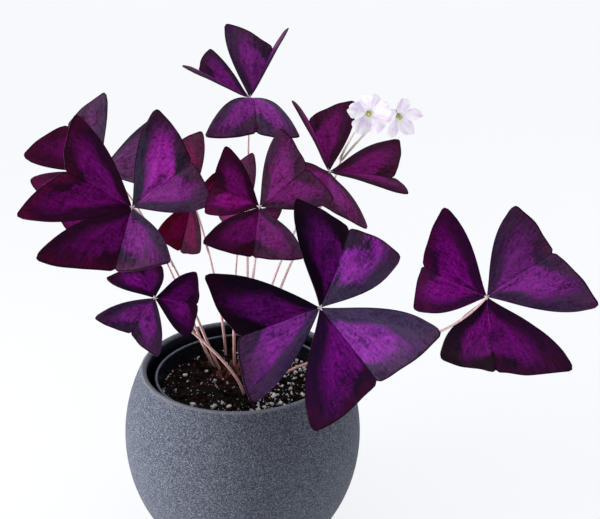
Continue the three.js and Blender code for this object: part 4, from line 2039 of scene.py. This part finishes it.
@dataclass
class Umbel:
    """The flower scape with its two blooms."""

    top: Point = (58, 44, 224)
    knob: float = 1.25
    stem: Stem = field(default_factory=lambda: Stem((13, 24), (0, 0, 60), (-6, 0, -30)))
    blooms: tuple[Bloom, ...] = (
        Bloom(Hand.LEFT, (71, 14, 257), 0, 85),
        Bloom(Hand.RIGHT, (88, 26, 254), 15, 100, petal_width=9.0),
    )

    def build(self, soil: PottingSoil) -> list[Piece]:
        """Model the scape, the small bracts at its top and the blooms.

        Args:
            soil: The soil in which the scape stands.

        Returns:
            The finished pieces.
        """
        scape = self.stem.build(metres(self.top), soil.height(*self.stem.root))
        deselect()
        bpy.ops.mesh.primitive_uv_sphere_add(segments=14, ring_count=8, radius=self.knob * MM)
        bract = bpy.context.object
        place(bract, Matrix.Translation(metres(self.top)) @ Matrix.Diagonal((1.1, 1, 0.8, 1)))
        scape = join([scape, bract])
        smooth(scape, 60)
        made = [settle(scape, "flower_scape", worn("leaf_stem"), ("scape",))]
        for bloom in self.blooms:
            made += bloom.build(self.top)
        return made


# ------------------------------------------------------------------ the studio


@dataclass(frozen=True)
class Glow:
    """A side of the room that gives soft light.

    The light grows from nothing where a direction leans towards the side by the start's
    cosine to its full strength at the end's.
    """

    towards: Point
    start: float
    end: float
    strength: float


@dataclass(frozen=True)
class Lamp:
    """A square soft light, with its place and side in metres and its power in watts."""

    name: str
    spot: Point
    size: float
    power: float
    colour: Point


@dataclass
class Studio:
    """The pale floor, the soft lights and the camera."""

    camera_place: Point = (34, -445, 344)
    camera_pitch: float = 20.5
    focal_share: float = 850 / 600
    sensor: float = 36.0
    floor_size: float = 40.0
    room_light: float = 0.05
    cast_colour: Colour = (0.90, 0.94, 1.0, 1.0)
    seen_colour: Colour = (0.955, 0.965, 1.0, 1.0)
    aim: Point = (0.02, 0, 0.15)
    glows: tuple[Glow, ...] = (
        Glow((-1, 0, 0), 0.55, 0.98, 0.5),
        Glow((1, 0, 0), 0.60, 0.98, 0.7),
        Glow((0, 1, 0), 0.30, 0.90, 0.5),
        Glow((0, 0, 1), 0.40, 0.98, 0.95),
    )
    lamps: tuple[Lamp, ...] = (
        Lamp("window", (1.2, 0.3, 0.32), 0.7, 3.0, (0.92, 0.95, 1.0)),
        Lamp("wall", (-0.68, -0.20, 0.10), 0.36, 10.8, (1.0, 0.98, 0.97)),
    )

    def camera(self) -> None:
        """Stand the camera where it sees the plant's full side."""
        data = bpy.data.cameras.new("camera")
        data.sensor_fit = "HORIZONTAL"
        data.sensor_width = self.sensor
        data.lens = self.focal_share * self.sensor
        data.clip_start, data.clip_end = 0.01, 100.0
        camera = bpy.data.objects.new("camera", data)
        camera.location = metres(self.camera_place)
        camera.rotation_euler = (math.radians(90 - self.camera_pitch), 0, 0)
        bpy.context.scene.collection.objects.link(camera)
        bpy.context.scene.camera = camera

    def hang(self, lamp: Lamp) -> None:
        """Hang a lamp so that it faces the plant.

        Args:
            lamp: The lamp.
        """
        data = bpy.data.lights.new(lamp.name, "AREA")
        data.shape, data.size = "SQUARE", lamp.size
        data.energy, data.color = lamp.power, lamp.colour
        light = bpy.data.objects.new(lamp.name, data)
        light.visible_camera = False
        light.visible_glossy = False
        light.location = lamp.spot
        way = Vector(self.aim) - Vector(lamp.spot)
        light.rotation_euler = way.to_track_quat("-Z", "Y").to_euler()
        bpy.context.scene.collection.objects.link(light)

    def sky(self) -> None:
        """Fill the room with soft light from its sides, behind a plain pale backdrop."""
        board = Board("studio_sky", sky=True)
        way = board.node("TexCoord").outputs["Generated"]
        light: object = self.room_light
        for glow in self.glows:
            facing = board.node("VectorMath", {0: way, 1: glow.towards}, operation="DOT_PRODUCT")
            facing = facing.outputs["Value"]
            side = board.between(facing, glow.start, glow.end, 0.0, glow.strength)
            light = board.add(side, light)
        cast = board.node("Background", {"Color": self.cast_colour, "Strength": light}).outputs[0]
        seen = board.node("Background", {"Color": self.seen_colour}).outputs[0]
        path = board.node("LightPath").outputs["Is Camera Ray"]
        both = board.node("MixShader", {0: path, 1: cast, 2: seen}).outputs[0]
        board.node("OutputWorld", {"Surface": both})
        bpy.context.scene.world = board.owner

    def floor(self) -> None:
        """Lay the pale floor under the pot."""
        deselect()
        bpy.ops.mesh.primitive_plane_add(size=self.floor_size)
        floor = bpy.context.object
        floor.name = "floor"
        floor.data.materials.append(FloorPaint().material())

    def build(self) -> None:
        """Set up the whole studio."""
        self.camera()
        self.floor()
        self.sky()
        for lamp in self.lamps:
            self.hang(lamp)
        view = bpy.context.scene.view_settings
        view.view_transform = "Standard"
        view.look = "None"


# ------------------------------------------------------------------ the whole plant


def shared_finishes() -> None:
    """Build the finishes that many pieces wear."""
    stalk = rgb(238, 232, 216), rgb(246, 243, 230), rgb(188, 194, 166), 0.22, 0.26
    green = rgb(150, 160, 120), rgb(170, 178, 140), rgb(120, 110, 96), 0.24, 0.27
    heart = rgb(190, 206, 116), rgb(220, 224, 140), rgb(236, 232, 176), 0.24, 0.27
    shared: list[Finish] = [
        BladeSkin(),
        under_skin(),
        BladeRim(),
        StemSkin(),
        StemSkin("bloom_stalk", *stalk),
        StemSkin("bloom_green", *green),
        StemSkin("bloom_heart", *heart),
        PetalSkin(),
    ]
    for finish in shared:
        finish.material()


def report(name: str, made: list[Piece]) -> None:
    """Log the pieces of a sub-assembly and their faces."""
    for piece in made:
        LOG.info("%s: %s, %d faces", name, piece.name, len(piece.data.polygons))


def main() -> None:
    """Build the studio, the pots, the soil, the leaves and the blooms, in that order."""
    logging.basicConfig(level=logging.INFO, format="%(message)s", stream=sys.stdout)
    Studio().build()
    shared_finishes()
    soil = PottingSoil()
    report("pots", [CoverPot().build(), NurseryPot().build()])
    report("soil", soil.build())
    for number, leaf in enumerate(leaves()):
        report(leaf.name, leaf.build(soil, number))
    report("umbel", Umbel().build(soil))
    deselect()


if __name__ == "__main__":
    main()
